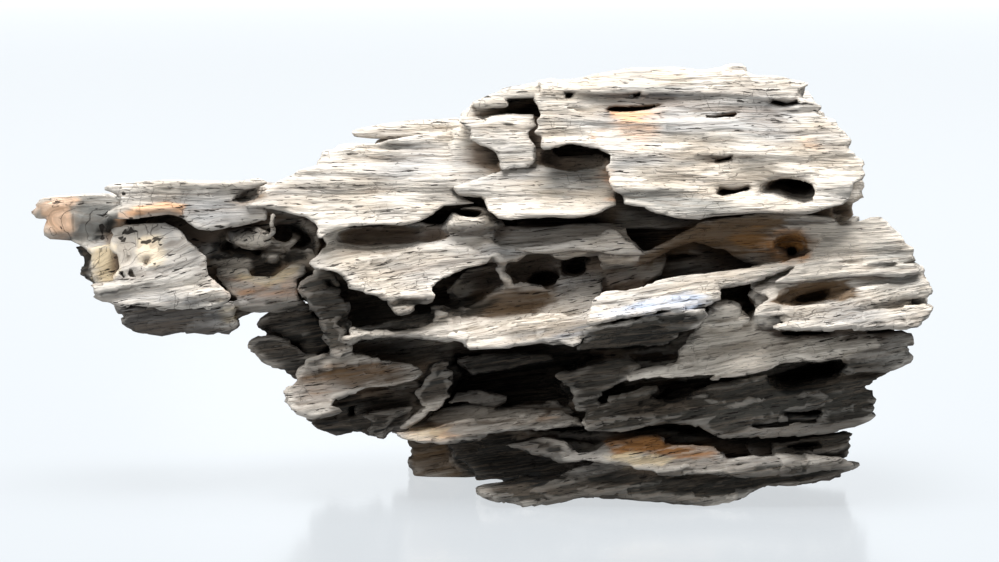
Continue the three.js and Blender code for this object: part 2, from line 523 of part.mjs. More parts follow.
const FAR_SIDE = [
  farLedge("far_tail_upper", 30, 0, 0.4, [
    [112, 186], [150, 182], [210, 182], [262, 180], [310, 186], [330, 210], [300, 226], [240, 222],
    [180, 226], [130, 218], [106, 206],
  ]),
  farLedge("far_tail_lower", 38, 0, 0.4, [
    [104, 236], [150, 230], [200, 232], [262, 238], [330, 236], [320, 262], [290, 262], [262, 280],
    [232, 284], [212, 300], [160, 306], [118, 300], [98, 282],
  ]),
];
const FAR_DENS = [
  pocket("far_den_one", [560, 244, 66], [20, 7, 30], 8),
  pocket("far_den_two", [706, 202, 66], [24, 8, 26], 8),
  pocket("far_den_three", [470, 300, 60], [18, 8, 26], 8),
  pocket("far_den_four", [650, 312, 70], [26, 9, 34], 8),
  pocket("far_den_five", [800, 278, 62], [20, 7, 26], 8),
  pocket("far_den_six", [540, 372, 64], [20, 8, 28], 8),
  pocket("far_den_seven", [724, 376, 62], [24, 8, 26], 8),
  pocket("far_den_eight", [430, 196, 56], [18, 6, 24], 8),
  pocket("far_den_nine", [236, 232, 36], [15, 6, 16], 0),
  pocket("far_den_ten", [640, 128, 58], [18, 6, 24], 6),
];

const STEPS = [
  ...HEART, ...FEET, ...farShelves(), ...FAR_SIDE, ...FAR_DENS,
  ...LOWER_MIDDLE, ...LOWER_LEFT, ...SHELVES, ...MIDDLE, ...TAIL, ...UPPER,
];

// The front view: where a point is seen, in mm on the view's middle plane.
const AXIS = [0, Math.cos(VIEW_TILT), -Math.sin(VIEW_TILT)];
const UP = [0, Math.sin(VIEW_TILT), Math.cos(VIEW_TILT)];
const TARGET_Z = ((FLOOR_AT_MIDDLE_PX - FRAME_CENTRE_PX[1]) * MM_PER_PX) / Math.cos(VIEW_TILT);
const EYE = [0, -VIEW_DISTANCE * AXIS[1], TARGET_Z - VIEW_DISTANCE * AXIS[2]];

function seenAt(x, y, z) {
  const [dx, dy, dz] = [x - EYE[0], y - EYE[1], z - EYE[2]];
  const scale = VIEW_DISTANCE / (dy * AXIS[1] + dz * AXIS[2]);
  return [dx * scale, -(dy * UP[1] + dz * UP[2]) * scale];
}

const toView = ([px, py]) =>
  [(px - FRAME_CENTRE_PX[0]) * MM_PER_PX, (py - FRAME_CENTRE_PX[1]) * MM_PER_PX];

// Distances

function smoothMin(a, b, k) {
  const h = Math.max(k - Math.abs(a - b), 0) / k;
  return Math.min(a, b) - h * h * k * 0.25;
}

// Signed distance to a closed outline, negative inside.
function outlineDistance(outline, u, v) {
  let nearest = Infinity;
  let inside = false;
  for (let i = 0, j = outline.length - 1; i < outline.length; j = i++) {
    const [au, av] = outline[i];
    const [bu, bv] = outline[j];
    const [eu, ev, wu, wv] = [bu - au, bv - av, u - au, v - av];
    const t = Math.min(Math.max((wu * eu + wv * ev) / (eu * eu + ev * ev), 0), 1);
    nearest = Math.min(nearest, (wu - eu * t) ** 2 + (wv - ev * t) ** 2);
    if (av > v !== bv > v && u < (eu * wv) / ev + au) inside = !inside;
  }
  return (inside ? -1 : 1) * Math.sqrt(nearest);
}

function slabDistance(form, u, v, depth) {
  const y = depth * form.facing;
  const rise = form.lean >= 0 ? form.bottom - v : v - form.top;
  const face = form.near + Math.abs(form.lean) * rise;
  const behind = Math.max(y - face, 0);
  const shrunk = form.cut ? behind * form.undercut
    : form.bite * (1 - Math.exp((-behind * form.undercut) / form.bite));
  const across = outlineDistance(form.outline, u - form.drift[0] * behind, v - form.drift[1] * behind);
  const side = (across + shrunk) / Math.hypot(1, form.undercut) + form.round;
  const deep = Math.max((face - y) / Math.hypot(1, form.lean), y - form.far) + form.round;
  return Math.min(Math.max(side, deep), 0) + Math.hypot(Math.max(side, 0), Math.max(deep, 0))
    - form.round;
}

function strandDistance(form, u, v, y) {
  let nearest = Infinity;
  for (let i = 1; i < form.path.length; i++) {
    const [au, av, ay] = form.path[i - 1];
    const [bu, bv, by] = form.path[i];
    const [eu, ev, ey] = [bu - au, bv - av, by - ay];
    const along = (u - au) * eu + (v - av) * ev + (y - ay) * ey;
    const t = Math.min(Math.max(along / (eu * eu + ev * ev + ey * ey), 0), 1);
    nearest = Math.min(nearest, Math.hypot(u - au - eu * t, v - av - ev * t, y - ay - ey * t));
  }
  return nearest - form.radius;
}

function boulderDistance(form, u, v, y) {
  const [du, dv] = [u - form.centre[0], v - form.centre[1]];
  const a = (du * form.cos - dv * form.sin) / form.half[0];
  const b = (du * form.sin + dv * form.cos) / form.half[1];
  const c = (y - form.centre[2]) / form.half[2];
  const reach = Math.hypot(a, b, c);
  const slope = Math.hypot(a / form.half[0], b / form.half[1], c / form.half[2]);
  return slope > 0 ? (reach * (reach - 1)) / slope : -Math.min(...form.half);
}

const DISTANCE = { slab: slabDistance, strand: strandDistance, boulder: boulderDistance };

// Area over perimeter, which grows with the width of an outline's narrow way.
function slimness(outline) {
  let [area, around] = [0, 0];
  for (let i = 0, j = outline.length - 1; i < outline.length; j = i++) {
    const [a, b] = [outline[j], outline[i]];
    area += (a[0] * b[1] - b[0] * a[1]) / 2;
    around += Math.hypot(a[0] - b[0], a[1] - b[1]);
  }
  return Math.abs(area) / around;
}

// Puts a form's pixels into mm, and works out the box of the view that it can change.
function prepare(form) {
  const made = { ...form, near: form.near * DEPTH_SCALE, far: form.far * DEPTH_SCALE };
  let points;
  if (form.kind === "slab") {
    made.outline = form.px.map(toView);
    const downs = made.outline.map((p) => p[1]);
    [made.top, made.bottom] = [Math.min(...downs), Math.max(...downs)];
    made.bite = THREE.MathUtils.clamp(BITE * slimness(made.outline), ...BITE_RANGE);
    const deepest = made.far - made.near;
    points = made.outline.flatMap(([u, v]) => [
      [u, v, made.near * form.facing], [u, v, made.far * form.facing],
      [u + form.drift[0] * deepest, v + form.drift[1] * deepest, made.far * form.facing],
    ]);
  } else if (form.kind === "strand") {
    made.path = form.points.map((p) => [...toView(p), p[2] * DEPTH_SCALE]);
    const r = form.radius;
    points = made.path.flatMap(([u, v, y]) => [[u - r, v - r, y - r], [u + r, v + r, y + r]]);
  } else {
    const turn = THREE.MathUtils.degToRad(form.turn);
    [made.sin, made.cos] = [Math.sin(turn), Math.cos(turn)];
    made.centre = [...toView(form.at), form.at[2] * DEPTH_SCALE];
    const [u, v, y] = made.centre;
    const [a, , c] = form.half;
    points = [[u - a, v - a, y - c], [u + a, v + a, y + c]];
  }
  const margin = OUTSIDE * 0.6;
  made.low = [0, 1, 2].map((k) => Math.min(...points.map((p) => p[k])) - margin);
  made.high = [0, 1, 2].map((k) => Math.max(...points.map((p) => p[k])) + margin);
  return made;
}

// Smooth noise between -1 and 1, the same on every run.
function lattice(i, j, k) {
  let h = (i * 374761393 + j * 668265263 + k * 2147483647) | 0;
  h = Math.imul(h ^ (h >>> 13), 1274126177);
  return ((h ^ (h >>> 16)) >>> 0) / 2147483648 - 1;
}

function noise(x, y, z) {
  const [i, j, k] = [Math.floor(x), Math.floor(y), Math.floor(z)];
  const [fx, fy, fz] = [x - i, y - j, z - k].map((t) => t * t * (3 - 2 * t));
  let sum = 0;
  for (let corner = 0; corner < 8; corner++) {
    const [a, b, c] = [corner & 1, (corner >> 1) & 1, corner >> 2];
    const weight = (a ? fx : 1 - fx) * (b ? fy : 1 - fy) * (c ? fz : 1 - fz);
    sum += weight * lattice(i + a, j + b, k + c);
  }
  return sum;
}

// The grain rises to the right in the lower half of the block.
const GRAIN_SLOPE = 0.16;
const grainHeight = (u, v) => v + GRAIN_SLOPE * u * THREE.MathUtils.smoothstep(v, -40, 60);

// The distance field on its grid.
function fill() {
  const size = FIELD_LOW.map((low, k) => Math.ceil((FIELD_HIGH[k] - low) / CELL) + 1);
  const count = size[0] * size[1] * size[2];
  const [us, vs, ys] = [0, 1, 2].map(() => new Float32Array(count));
  const field = new Float32Array(count).fill(OUTSIDE);
  let n = 0;
  for (let k = 0; k < size[2]; k++)
    for (let j = 0; j < size[1]; j++)
      for (let i = 0; i < size[0]; i++, n++) {
        const [x, y, z] = [i, j, k].map((step, axis) => FIELD_LOW[axis] + step * CELL);
        const [u, v] = seenAt(x, y, z);
        us[n] = u + WANDER * noise(x / 16, y / 16, z / 9);
        vs[n] = v + WANDER * noise(x / 20 + 40, y / 12, z / 10);
        ys[n] = y + 2 * WANDER * noise(x / 26, y / 20 + 70, z / 12);
      }
  for (const form of STEPS.map(prepare)) {
    const measure = DISTANCE[form.kind];
    for (n = 0; n < count; n++) {
      const [u, v, y] = [us[n], vs[n], ys[n]];
      if (u < form.low[0] || u > form.high[0] || v < form.low[1] || v > form.high[1]) continue;
      if (y < form.low[2] || y > form.high[2]) continue;
      const d = measure(form, u, v, y);
      field[n] = form.cut ? -smoothMin(-field[n], d, RIM) : smoothMin(field[n], d, FILLET);
    }
  }
  for (n = 0; n < count; n++) {
    field[n] += GRAIN_RELIEF * noise(us[n] / 46, ys[n] / 11, grainHeight(us[n], vs[n]) / 6.5);
    const z = FIELD_LOW[2] + Math.floor(n / (size[0] * size[1])) * CELL;
    field[n] = Math.max(field[n], FIELD_LOW[2] + 1.2 * CELL - z);
  }
  return { size, field };
}

// The field's surface, by marching six tetrahedra in each cell, as one closed mesh.
const PATHS = [[1, 3, 7], [3, 2, 7], [2, 6, 7], [6, 4, 7], [4, 5, 7], [5, 1, 7]];
const EVEN_ORDER = {
  1: [0, 1, 2, 3], 2: [1, 0, 3, 2], 4: [2, 0, 1, 3], 8: [3, 2, 1, 0], 3: [0, 1, 2, 3],
  5: [0, 2, 3, 1], 9: [0, 3, 1, 2], 6: [1, 2, 0, 3], 10: [1, 3, 2, 0], 12: [2, 3, 0, 1],
};
const NODE_MARGIN = 0.12; // keeps new points off the grid's own corners

function march({ size, field }) {
  const strides = [1, size[0], size[0] * size[1]];
  const offset = [...Array(8).keys()].map(
    (c) => (c & 1) * strides[0] + ((c >> 1) & 1) * strides[1] + (c >> 2) * strides[2],
  );
  const positions = [];
  const triangles = [];
  const made = new Map();
  const place = (n, axis) => FIELD_LOW[axis] + (Math.floor(n / strides[axis]) % size[axis]) * CELL;
  const crossing = (a, b) => {
    const [low, high] = a < b ? [a, b] : [b, a];
    const key = low * 8 + offset.indexOf(high - low);
    if (made.has(key)) return made.get(key);
    const whole = field[low] / (field[low] - field[high]);
    const t = Math.min(Math.max(whole, NODE_MARGIN), 1 - NODE_MARGIN);
    for (const axis of [0, 1, 2])
      positions.push(place(low, axis) * (1 - t) + place(high, axis) * t);
    made.set(key, positions.length / 3 - 1);
    return positions.length / 3 - 1;
  };
  for (let k = 0; k < size[2] - 1; k++)
    for (let j = 0; j < size[1] - 1; j++)
      for (let i = 0; i < size[0] - 1; i++) {
        const base = i + j * strides[1] + k * strides[2];
        const filled = offset.reduce((sum, step) => sum + (field[base + step] < 0 ? 1 : 0), 0);
        if (filled === 0 || filled === 8) continue;
        for (const path of PATHS) {
          const tetra = [base, ...path.map((c) => base + offset[c])];
          const mask = tetra.reduce((sum, node, bit) => sum + (field[node] < 0 ? 1 << bit : 0), 0);
          if (mask === 0 || mask === 15) continue;
          const single = EVEN_ORDER[mask];
          const [a, b, c, d] = (single ?? EVEN_ORDER[15 - mask]).map((index) => tetra[index]);
          if ([3, 5, 9, 6, 10, 12].includes(mask)) {
            const ring = [crossing(a, c), crossing(a, d), crossing(b, d), crossing(b, c)];
            triangles.push([ring[0], ring[1], ring[2]], [ring[0], ring[2], ring[3]]);
          } else {
            const [p, q, r] = [crossing(a, b), crossing(a, c), crossing(a, d)];
            triangles.push(single ? [p, q, r] : [p, r, q]);
          }
        }
      }
  return { positions, triangles };
}

// Only the largest body is kept: loose crumbs go, and sealed bubbles are filled.
function largestBody({ positions, triangles }) {
  const parent = Int32Array.from({ length: positions.length / 3 }, (_, i) => i);
  const root = (i) => {
    while (parent[i] !== i) i = parent[i] = parent[parent[i]];
    return i;
  };
  for (const [a, b, c] of triangles) {
    parent[root(a)] = root(b);
    parent[root(b)] = root(c);
  }
  const tally = new Map();
  for (const [a] of triangles) tally.set(root(a), (tally.get(root(a)) ?? 0) + 1);
  const [main] = [...tally].reduce((best, entry) => (entry[1] > best[1] ? entry : best));
  return { positions, triangles: triangles.filter(([a]) => root(a) === main) };
}

// Thinning by quadric edge collapse: the flattest edges go first, until the target is met.
const FLIP_LIMIT = 0.25; // cosine of the most that a face may turn in one step

function thin({ positions, triangles }, target) {
  const points = Float64Array.from(positions);
  const quadrics = new Float64Array((points.length / 3) * 10);
  const faces = triangles.map((t) => [...t]);
  const around = Array.from({ length: points.length / 3 }, () => []);
  const age = new Int32Array(points.length / 3);

  const normalOf = (a, b, c) => {
    const [ax, ay, az] = a;
    const [ux, uy, uz] = [b[0] - ax, b[1] - ay, b[2] - az];
    const [vx, vy, vz] = [c[0] - ax, c[1] - ay, c[2] - az];
    return [uy * vz - uz * vy, uz * vx - ux * vz, ux * vy - uy * vx];
  };
  const at = (i) => [points[3 * i], points[3 * i + 1], points[3 * i + 2]];

  faces.forEach(([a, b, c], index) => {
    const n = normalOf(at(a), at(b), at(c));
    const area = Math.hypot(...n) || 1e-12;
    const [x, y, z] = n.map((value) => value / area);
    const w = -(x * points[3 * a] + y * points[3 * a + 1] + z * points[3 * a + 2]);
    const terms = [x * x, x * y, x * z, x * w, y * y, y * z, y * w, z * z, z * w, w * w];
    for (const vertex of [a, b, c]) {
      around[vertex].push(index);
      for (let k = 0; k < 10; k++) quadrics[10 * vertex + k] += terms[k] * area;
    }
  });

  const costAt = (q, [x, y, z]) =>
    q[0] * x * x + 2 * q[1] * x * y + 2 * q[2] * x * z + 2 * q[3] * x + q[4] * y * y
    + 2 * q[5] * y * z + 2 * q[6] * y + q[7] * z * z + 2 * q[8] * z + q[9];

  const best = (a, b) => {
    const q = [];
    for (let k = 0; k < 10; k++) q.push(quadrics[10 * a + k] + quadrics[10 * b + k]);
    const [pa, pb] = [at(a), at(b)];
    const middle = pa.map((value, k) => (value + pb[k]) / 2);
    const choices = [pa, pb, middle];
    const c0 = q[4] * q[7] - q[5] * q[5];
    const c1 = q[2] * q[5] - q[1] * q[7];
    const c2 = q[1] * q[5] - q[2] * q[4];
    const det = q[0] * c0 + q[1] * c1 + q[2] * c2;
    const scale = (q[0] + q[4] + q[7]) / 3;
    if (Math.abs(det) > 1e-4 * scale ** 3) {
      const x = -(q[3] * c0 + q[6] * c1 + q[8] * c2) / det;
      const y = -(q[3] * c1 + q[6] * (q[0] * q[7] - q[2] * q[2]) + q[8] * (q[1] * q[2] - q[0] * q[5])) / det;
      const z = -(q[3] * c2 + q[6] * (q[1] * q[2] - q[0] * q[5]) + q[8] * (q[0] * q[4] - q[1] * q[1])) / det;
      const length = Math.hypot(pa[0] - pb[0], pa[1] - pb[1], pa[2] - pb[2]);
      if (Math.hypot(x - middle[0], y - middle[1], z - middle[2]) < 2 * length) choices.push([x, y, z]);
    }
    let [cost, point] = [Infinity, middle];
    for (const choice of choices) {
      const value = costAt(q, choice);
      if (value < cost) [cost, point] = [value, choice];
    }
    return [Math.max(cost, 0), point];
  };

  // A binary heap of [cost, a, b, age of a, age of b, point].
  const heap = [];
  const push = (entry) => {
    let i = heap.length;
    heap.push(entry);
    while (i > 0 && heap[(i - 1) >> 1][0] > entry[0]) {
      heap[i] = heap[(i - 1) >> 1];
      i = (i - 1) >> 1;
    }
    heap[i] = entry;
  };
  const pop = () => {
    const first = heap[0];
    const last = heap.pop();
    if (heap.length === 0) return first;
    let i = 0;
    for (;;) {
      let child = 2 * i + 1;
      if (child >= heap.length) break;
      if (child + 1 < heap.length && heap[child + 1][0] < heap[child][0]) child++;
      if (heap[child][0] >= last[0]) break;
      heap[i] = heap[child];
      i = child;
    }
    heap[i] = last;
    return first;
  };
  const propose = (a, b) => {
    const [cost, point] = best(a, b);
    push([cost, a, b, age[a], age[b], point]);
  };
  const neighbours = (i) => {
    const found = new Set();
    for (const f of around[i]) for (const vertex of faces[f]) if (vertex !== i) found.add(vertex);
    return found;
  };
  const turnsOver = (i, other, point) => around[i].some((f) => {
    if (faces[f].includes(other)) return false;
    const before = faces[f].map(at);
    const after = faces[f].map((vertex, k) => (vertex === i ? point : before[k]));
    const [n, m] = [normalOf(...before), normalOf(...after)];
    const product = Math.hypot(...n) * Math.hypot(...m);
    return n[0] * m[0] + n[1] * m[1] + n[2] * m[2] < FLIP_LIMIT * product || Math.hypot(...m) < 0.02;
  });

  for (const [a, b, c] of faces)
    for (const [p, q] of [[a, b], [b, c], [c, a]]) if (p < q) propose(p, q);

  let left = faces.length;
  while (left > target && heap.length > 0) {
    const [, a, b, ageA, ageB, point] = pop();
    if (age[a] !== ageA || age[b] !== ageB || around[a].length === 0 || around[b].length === 0) continue;
    const [nearA, nearB] = [neighbours(a), neighbours(b)];
    const shared = [...nearA].filter((vertex) => nearB.has(vertex));
    if (shared.length !== 2 || turnsOver(a, b, point) || turnsOver(b, a, point)) continue;
    for (const f of around[b]) {
      if (faces[f].includes(a)) {
        for (const vertex of faces[f])
          if (vertex !== b) around[vertex] = around[vertex].filter((other) => other !== f);
        faces[f] = null;
        left -= 1;
      } else {
        faces[f] = faces[f].map((vertex) => (vertex === b ? a : vertex));
        around[a].push(f);
      }
    }
    around[b] = [];
    for (let k = 0; k < 3; k++) points[3 * a + k] = point[k];
    for (let k = 0; k < 10; k++) quadrics[10 * a + k] += quadrics[10 * b + k];
    age[a] += 1;
    age[b] += 1;
    for (const vertex of neighbours(a)) propose(Math.min(a, vertex), Math.max(a, vertex));
  }
  return { points, faces: faces.filter(Boolean) };
}

function toGeometry({ points, faces }) {
  const index = new Map();
  const kept = [];
  for (const face of faces)
    for (const vertex of face)
      if (!index.has(vertex)) {
        index.set(vertex, index.size);
        kept.push(points[3 * vertex], points[3 * vertex + 1], points[3 * vertex + 2]);
      }
  const geometry = new THREE.BufferGeometry();
  geometry.setAttribute("position", new THREE.BufferAttribute(new Float32Array(kept), 3));
  geometry.setIndex(faces.flatMap((face) => face.map((vertex) => index.get(vertex))));
  return geometry;
}

// Cutting, for the flat spots that the block stands on
const wasm = await Module();
wasm.setup();

function toSolid(geometry) {
  const bare = geometry.clone();
  bare.deleteAttribute("normal");
  bare.deleteAttribute("uv");
  const merged = mergeVertices(bare, 1e-4);
  return new wasm.Manifold(new wasm.Mesh({
    numProp: 3,
    vertProperties: new Float32Array(merged.attributes.position.array),
    triVerts: new Uint32Array(merged.index.array),
  }));
}

function fromSolid(solid) {
  const mesh = solid.getMesh();
  const geometry = new THREE.BufferGeometry();
  geometry.setAttribute("position", new THREE.BufferAttribute(new Float32Array(mesh.vertProperties), 3));
  geometry.setIndex(new THREE.BufferAttribute(new Uint32Array(mesh.triVerts), 1));
  return geometry;
}

function standOnFloor(geometry) {
  const [width, height] = [2 * LENGTH, 40];
  const below = new THREE.BoxGeometry(width, width, height).translate(0, 0, -height / 2);
  return fromSolid(toSolid(geometry).subtract(toSolid(below)));
}

const block = standOnFloor(toGeometry(thin(largestBody(march(fill())), TRIANGLES)));
block.computeBoundingBox();
const { min, max } = block.boundingBox;
block.translate(-(min.x + max.x) / 2, -(min.y + max.y) / 2, 0);
block.computeVertexNormals();

const wood = new THREE.MeshStandardMaterial({ color: WOOD_COLOUR, roughness: 0.95, metalness: 0 });
const honeycombWood = new THREE.Mesh(block, wood);
honeycombWood.name = "honeycomb_wood";

const group = new THREE.Group();
group.add(honeycombWood);
export default group;
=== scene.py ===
# A piece of honeycomb wood on a pale studio floor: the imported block, with its weathered surface.
# Forms are drawn in the front view's pixels and in mm; Blender's own units are metres.
import functools
import math

import bpy
import numpy as np
import openvdb
from mathutils import Matrix, Vector


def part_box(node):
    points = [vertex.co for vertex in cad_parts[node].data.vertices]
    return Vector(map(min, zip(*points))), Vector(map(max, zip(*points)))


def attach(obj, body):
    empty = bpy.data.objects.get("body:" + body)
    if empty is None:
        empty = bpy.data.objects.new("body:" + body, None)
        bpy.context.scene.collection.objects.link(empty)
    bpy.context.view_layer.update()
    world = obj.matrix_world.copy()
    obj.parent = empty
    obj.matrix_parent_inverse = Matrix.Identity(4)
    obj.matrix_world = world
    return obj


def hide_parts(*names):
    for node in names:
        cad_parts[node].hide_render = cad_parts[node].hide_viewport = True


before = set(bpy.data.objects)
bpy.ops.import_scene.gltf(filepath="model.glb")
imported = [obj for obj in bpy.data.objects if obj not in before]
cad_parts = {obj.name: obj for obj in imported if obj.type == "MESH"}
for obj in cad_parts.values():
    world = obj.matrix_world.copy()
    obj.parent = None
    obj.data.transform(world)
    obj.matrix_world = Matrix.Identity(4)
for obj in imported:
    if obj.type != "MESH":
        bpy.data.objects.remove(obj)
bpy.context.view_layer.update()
NODE = "honeycomb_wood"

# Driving dimensions, in mm
LENGTH = 450.0  # from the tip of the tail to the end of the longest shelf
VIEW_DISTANCE = 1500.0  # from which the front outlines were drawn
VIEW_TILT = math.radians(8)  # how far above the horizon they were drawn from

# The front view's frame, in its own pixels
FRAME_WIDTH_PX = 999
FRAME_CENTRE_PX = (499.5, 281.0)
TAIL_TIP_PX = 31
SHELF_END_PX = 932
FLOOR_AT_MIDDLE_PX = 486.3
MM_PER_PX = LENGTH / (SHELF_END_PX - TAIL_TIP_PX)

# How the surface is made, in mm
CELL = 1.05
FIELD_LOW = (-246.0, -84.0, -5.0)
FIELD_HIGH = (232.0, 86.0, 222.0)
OUTSIDE = 12.0  # distance held where no form is near
REACH = 7.0  # how far past its box a form can still change the field
FILLET = 2.6  # soft join between forms
RIM = 1.8  # rounding of a hollow's mouth
BITE = 0.55  # how far an undercut goes into a slab, as a share of the slab's slimness
BITE_RANGE = (0.5, 7.0)
MOST_TRIANGLES = 192000

# How far the measures for painted shade, painted highlight and wear look around each place, in mm
SKIN = 2.5  # how far out of the wood they start
EDGE_REACH = 3.5
OPEN_REACH = 13.0
SKY_REACH = 16.0


# Forms: each is a small dictionary, as the block's own source has them
def ledge(name, near, far, lean, px, undercut=0.45, round=2.2):
    """A slab between two depths, drawn as an outline, whose front leans back towards its top."""
    return dict(kind="slab", cut=False, facing=1, name=name, near=near, far=far, lean=lean, px=px,
                undercut=undercut, round=round, drift=(0, 0))


def far_ledge(name, face, root, lean, px, undercut=0.5, round=2.6):
    """A ledge that faces away from the view."""
    return {**ledge(name, -face, -root, lean, px, undercut, round), "facing": -1}


def hollow(name, near, far, px, drift=(0, 0), narrowing=0.18, round=5):
    """A cavity between two depths, which narrows and drifts aside as it goes in."""
    return {**ledge(name, near, far, 0, px, narrowing, round), "cut": True, "drift": drift}


def strand(name, radius, points):
    """A round cord of wood through points across, down and deep; a groove is one that is cut."""
    return dict(kind="strand", cut=False, name=name, radius=radius, points=points)


def groove(name, radius, points):
    return {**strand(name, radius, points), "cut": True}


def boulder(name, at, half, turn=0):
    """An egg of wood with its half sizes in mm and its turn in degrees; a pocket is one that is cut."""
    return dict(kind="boulder", cut=False, name=name, at=at, half=half, turn=turn)


def pocket(name, at, half, turn=0):
    return {**boulder(name, at, half, turn), "cut": True}


# Noise between -1 and 1, the same on every run: lattice() gives each whole place its own value,
# by the usual multiply and shift of its bits, and noise() runs smoothly between them.
LATTICE_PRIMES = (374761393, 668265263, 2147483647)
LATTICE_MIX = 1274126177
LOW_32_BITS = 0xFFFFFFFF


def lattice(i, j, k):
    h = sum(n * prime for n, prime in zip((i, j, k), LATTICE_PRIMES)) & LOW_32_BITS
    h = ((h ^ (h >> 13)) * LATTICE_MIX) & LOW_32_BITS
    return ((h ^ (h >> 16)) & LOW_32_BITS) / 2 ** 31 - 1


def noise(x, y, z):
    cells = [np.floor(t).astype(np.int64) for t in (x, y, z)]
    parts = [(t - c).astype(np.float32) for t, c in zip((x, y, z), cells)]
    parts = [t * t * (3 - 2 * t) for t in parts]
    total = np.float32(0)
    for corner in range(8):
        bits = (corner & 1, (corner >> 1) & 1, corner >> 2)
        weight = math.prod(p if b else 1 - p for b, p in zip(bits, parts))
        total = total + weight * lattice(*(c + b for c, b in zip(cells, bits))).astype(np.float32)
    return total


def blend(low, high, t):
    t = np.clip((t - low) / (high - low), 0, 1)
    return t * t * (3 - 2 * t)


# The heart of the block, behind everything that is seen from the front.
HEART = [
    ledge("tail_heart", 0, 26, 0.1, [
        [100, 194], [150, 188], [220, 186], [280, 186], [320, 200], [320, 300], [270, 304], [236, 318],
        [190, 326], [140, 320], [110, 300], [98, 280], [96, 240],
    ], 0.1),
    ledge("upper_heart", 6, 40, 0.25, [
        [290, 192], [330, 160], [380, 140], [450, 130], [490, 108], [600, 82], [740, 76], [800, 92],
        [850, 160], [858, 200], [840, 240], [800, 280], [560, 290], [400, 290], [330, 280], [300, 240],
    ], 0.25),
    ledge("lower_heart", 2, 38, 0.1, [
        [330, 270], [600, 250], [860, 235], [895, 270], [905, 310], [890, 350], [850, 400], [800, 440],
        [740, 462], [620, 466], [520, 456], [440, 436], [390, 400], [330, 380], [310, 330],
    ], 0.2),
]

# The tail, from its forked tip to the window where it meets the block.
TAIL = [
    ledge("tail_tip", -6, 14, 0.12, [
        [31, 212], [34, 205], [46, 198], [62, 196], [86, 194], [110, 193], [130, 205], [128, 240],
        [108, 248], [84, 247], [71, 241], [50, 240], [43, 233], [40, 226], [48, 219], [38, 219],
    ], 0.2, 1.6),
    ledge("tail_end_grain", -12, 18, 0.1, [
        [84, 248], [108, 243], [130, 246], [140, 284], [110, 290], [90, 284], [88, 270], [90, 256],
    ], 0.2),
    ledge("tail_end_shadow", 4, 24, 0, [
        [76, 246], [100, 246], [100, 284], [86, 282], [81, 275], [83, 266], [82, 256],
    ], 0.1),
    ledge("tail_upper", -27, 12, 0.35, [
        [98, 188], [112, 183], [150, 180], [200, 179], [235, 179], [256, 177], [269, 181], [268, 190],
        [262, 205], [268, 214], [266, 222], [240, 228], [214, 233], [198, 232], [186, 222], [168, 218],
        [146, 219], [122, 222], [109, 219], [104, 213], [120, 202], [110, 194],
    ], 0.5),
    ledge("tail_lower", -34, 14, 0.32, [
        [112, 227], [140, 222], [162, 221], [178, 228], [192, 242], [204, 254], [212, 268], [214, 276],
        [226, 288], [230, 294], [226, 303], [205, 310], [170, 309], [140, 309], [116, 307], [98, 301],
        [90, 291], [92, 284], [112, 280], [118, 266], [110, 248],
    ], 0.5),
    ledge("tail_under", -24, 16, -0.55, [
        [112, 304], [160, 306], [226, 302], [236, 310], [239, 318], [238, 329], [231, 336], [200, 334],
        [165, 338], [134, 334], [125, 322],
    ], 0.2),
    groove("tail_crevice", 3.4, [
        [92, 196, -6], [112, 200, -12], [122, 196, -16],
    ]),
    groove("tail_split", 2.2, [
        [98, 234, -8], [112, 225, -20], [140, 220, -28], [168, 220, -32], [184, 228, -32], [204, 246, -28],
    ]),
    ledge("sill", -20, 20, 0.55, [
        [212, 266], [246, 267], [254, 276], [272, 276], [290, 262], [306, 262], [304, 276], [300, 284],
        [300, 298], [312, 304], [290, 308], [244, 311], [230, 302], [228, 292], [214, 276],
    ], 0.4),
    hollow("window", -32, 20, [
        [206, 256], [209, 244], [217, 235], [234, 229], [262, 224], [272, 218], [290, 218], [303, 222],
        [312, 232], [317, 242], [314, 252], [304, 260], [284, 262], [272, 273], [256, 275], [246, 267],
        [226, 265], [212, 262],
    ], [0.05, -0.05], 0.12, 6),
    boulder("window_bowl", [250, 238, 4], [12, 5.5, 12], -8),
    boulder("window_knob", [274, 258, 6], [8, 5, 12], 10),
    strand("window_septum", 2.2, [[276, 243, 0], [290, 242, 4], [297, 236, 12], [290, 228, 24]]),
    strand("window_loop", 1.2, [
        [262, 240, 0], [270, 236, -5], [274, 230, -7], [271, 224, -7], [272, 215, -4],
    ]),
]

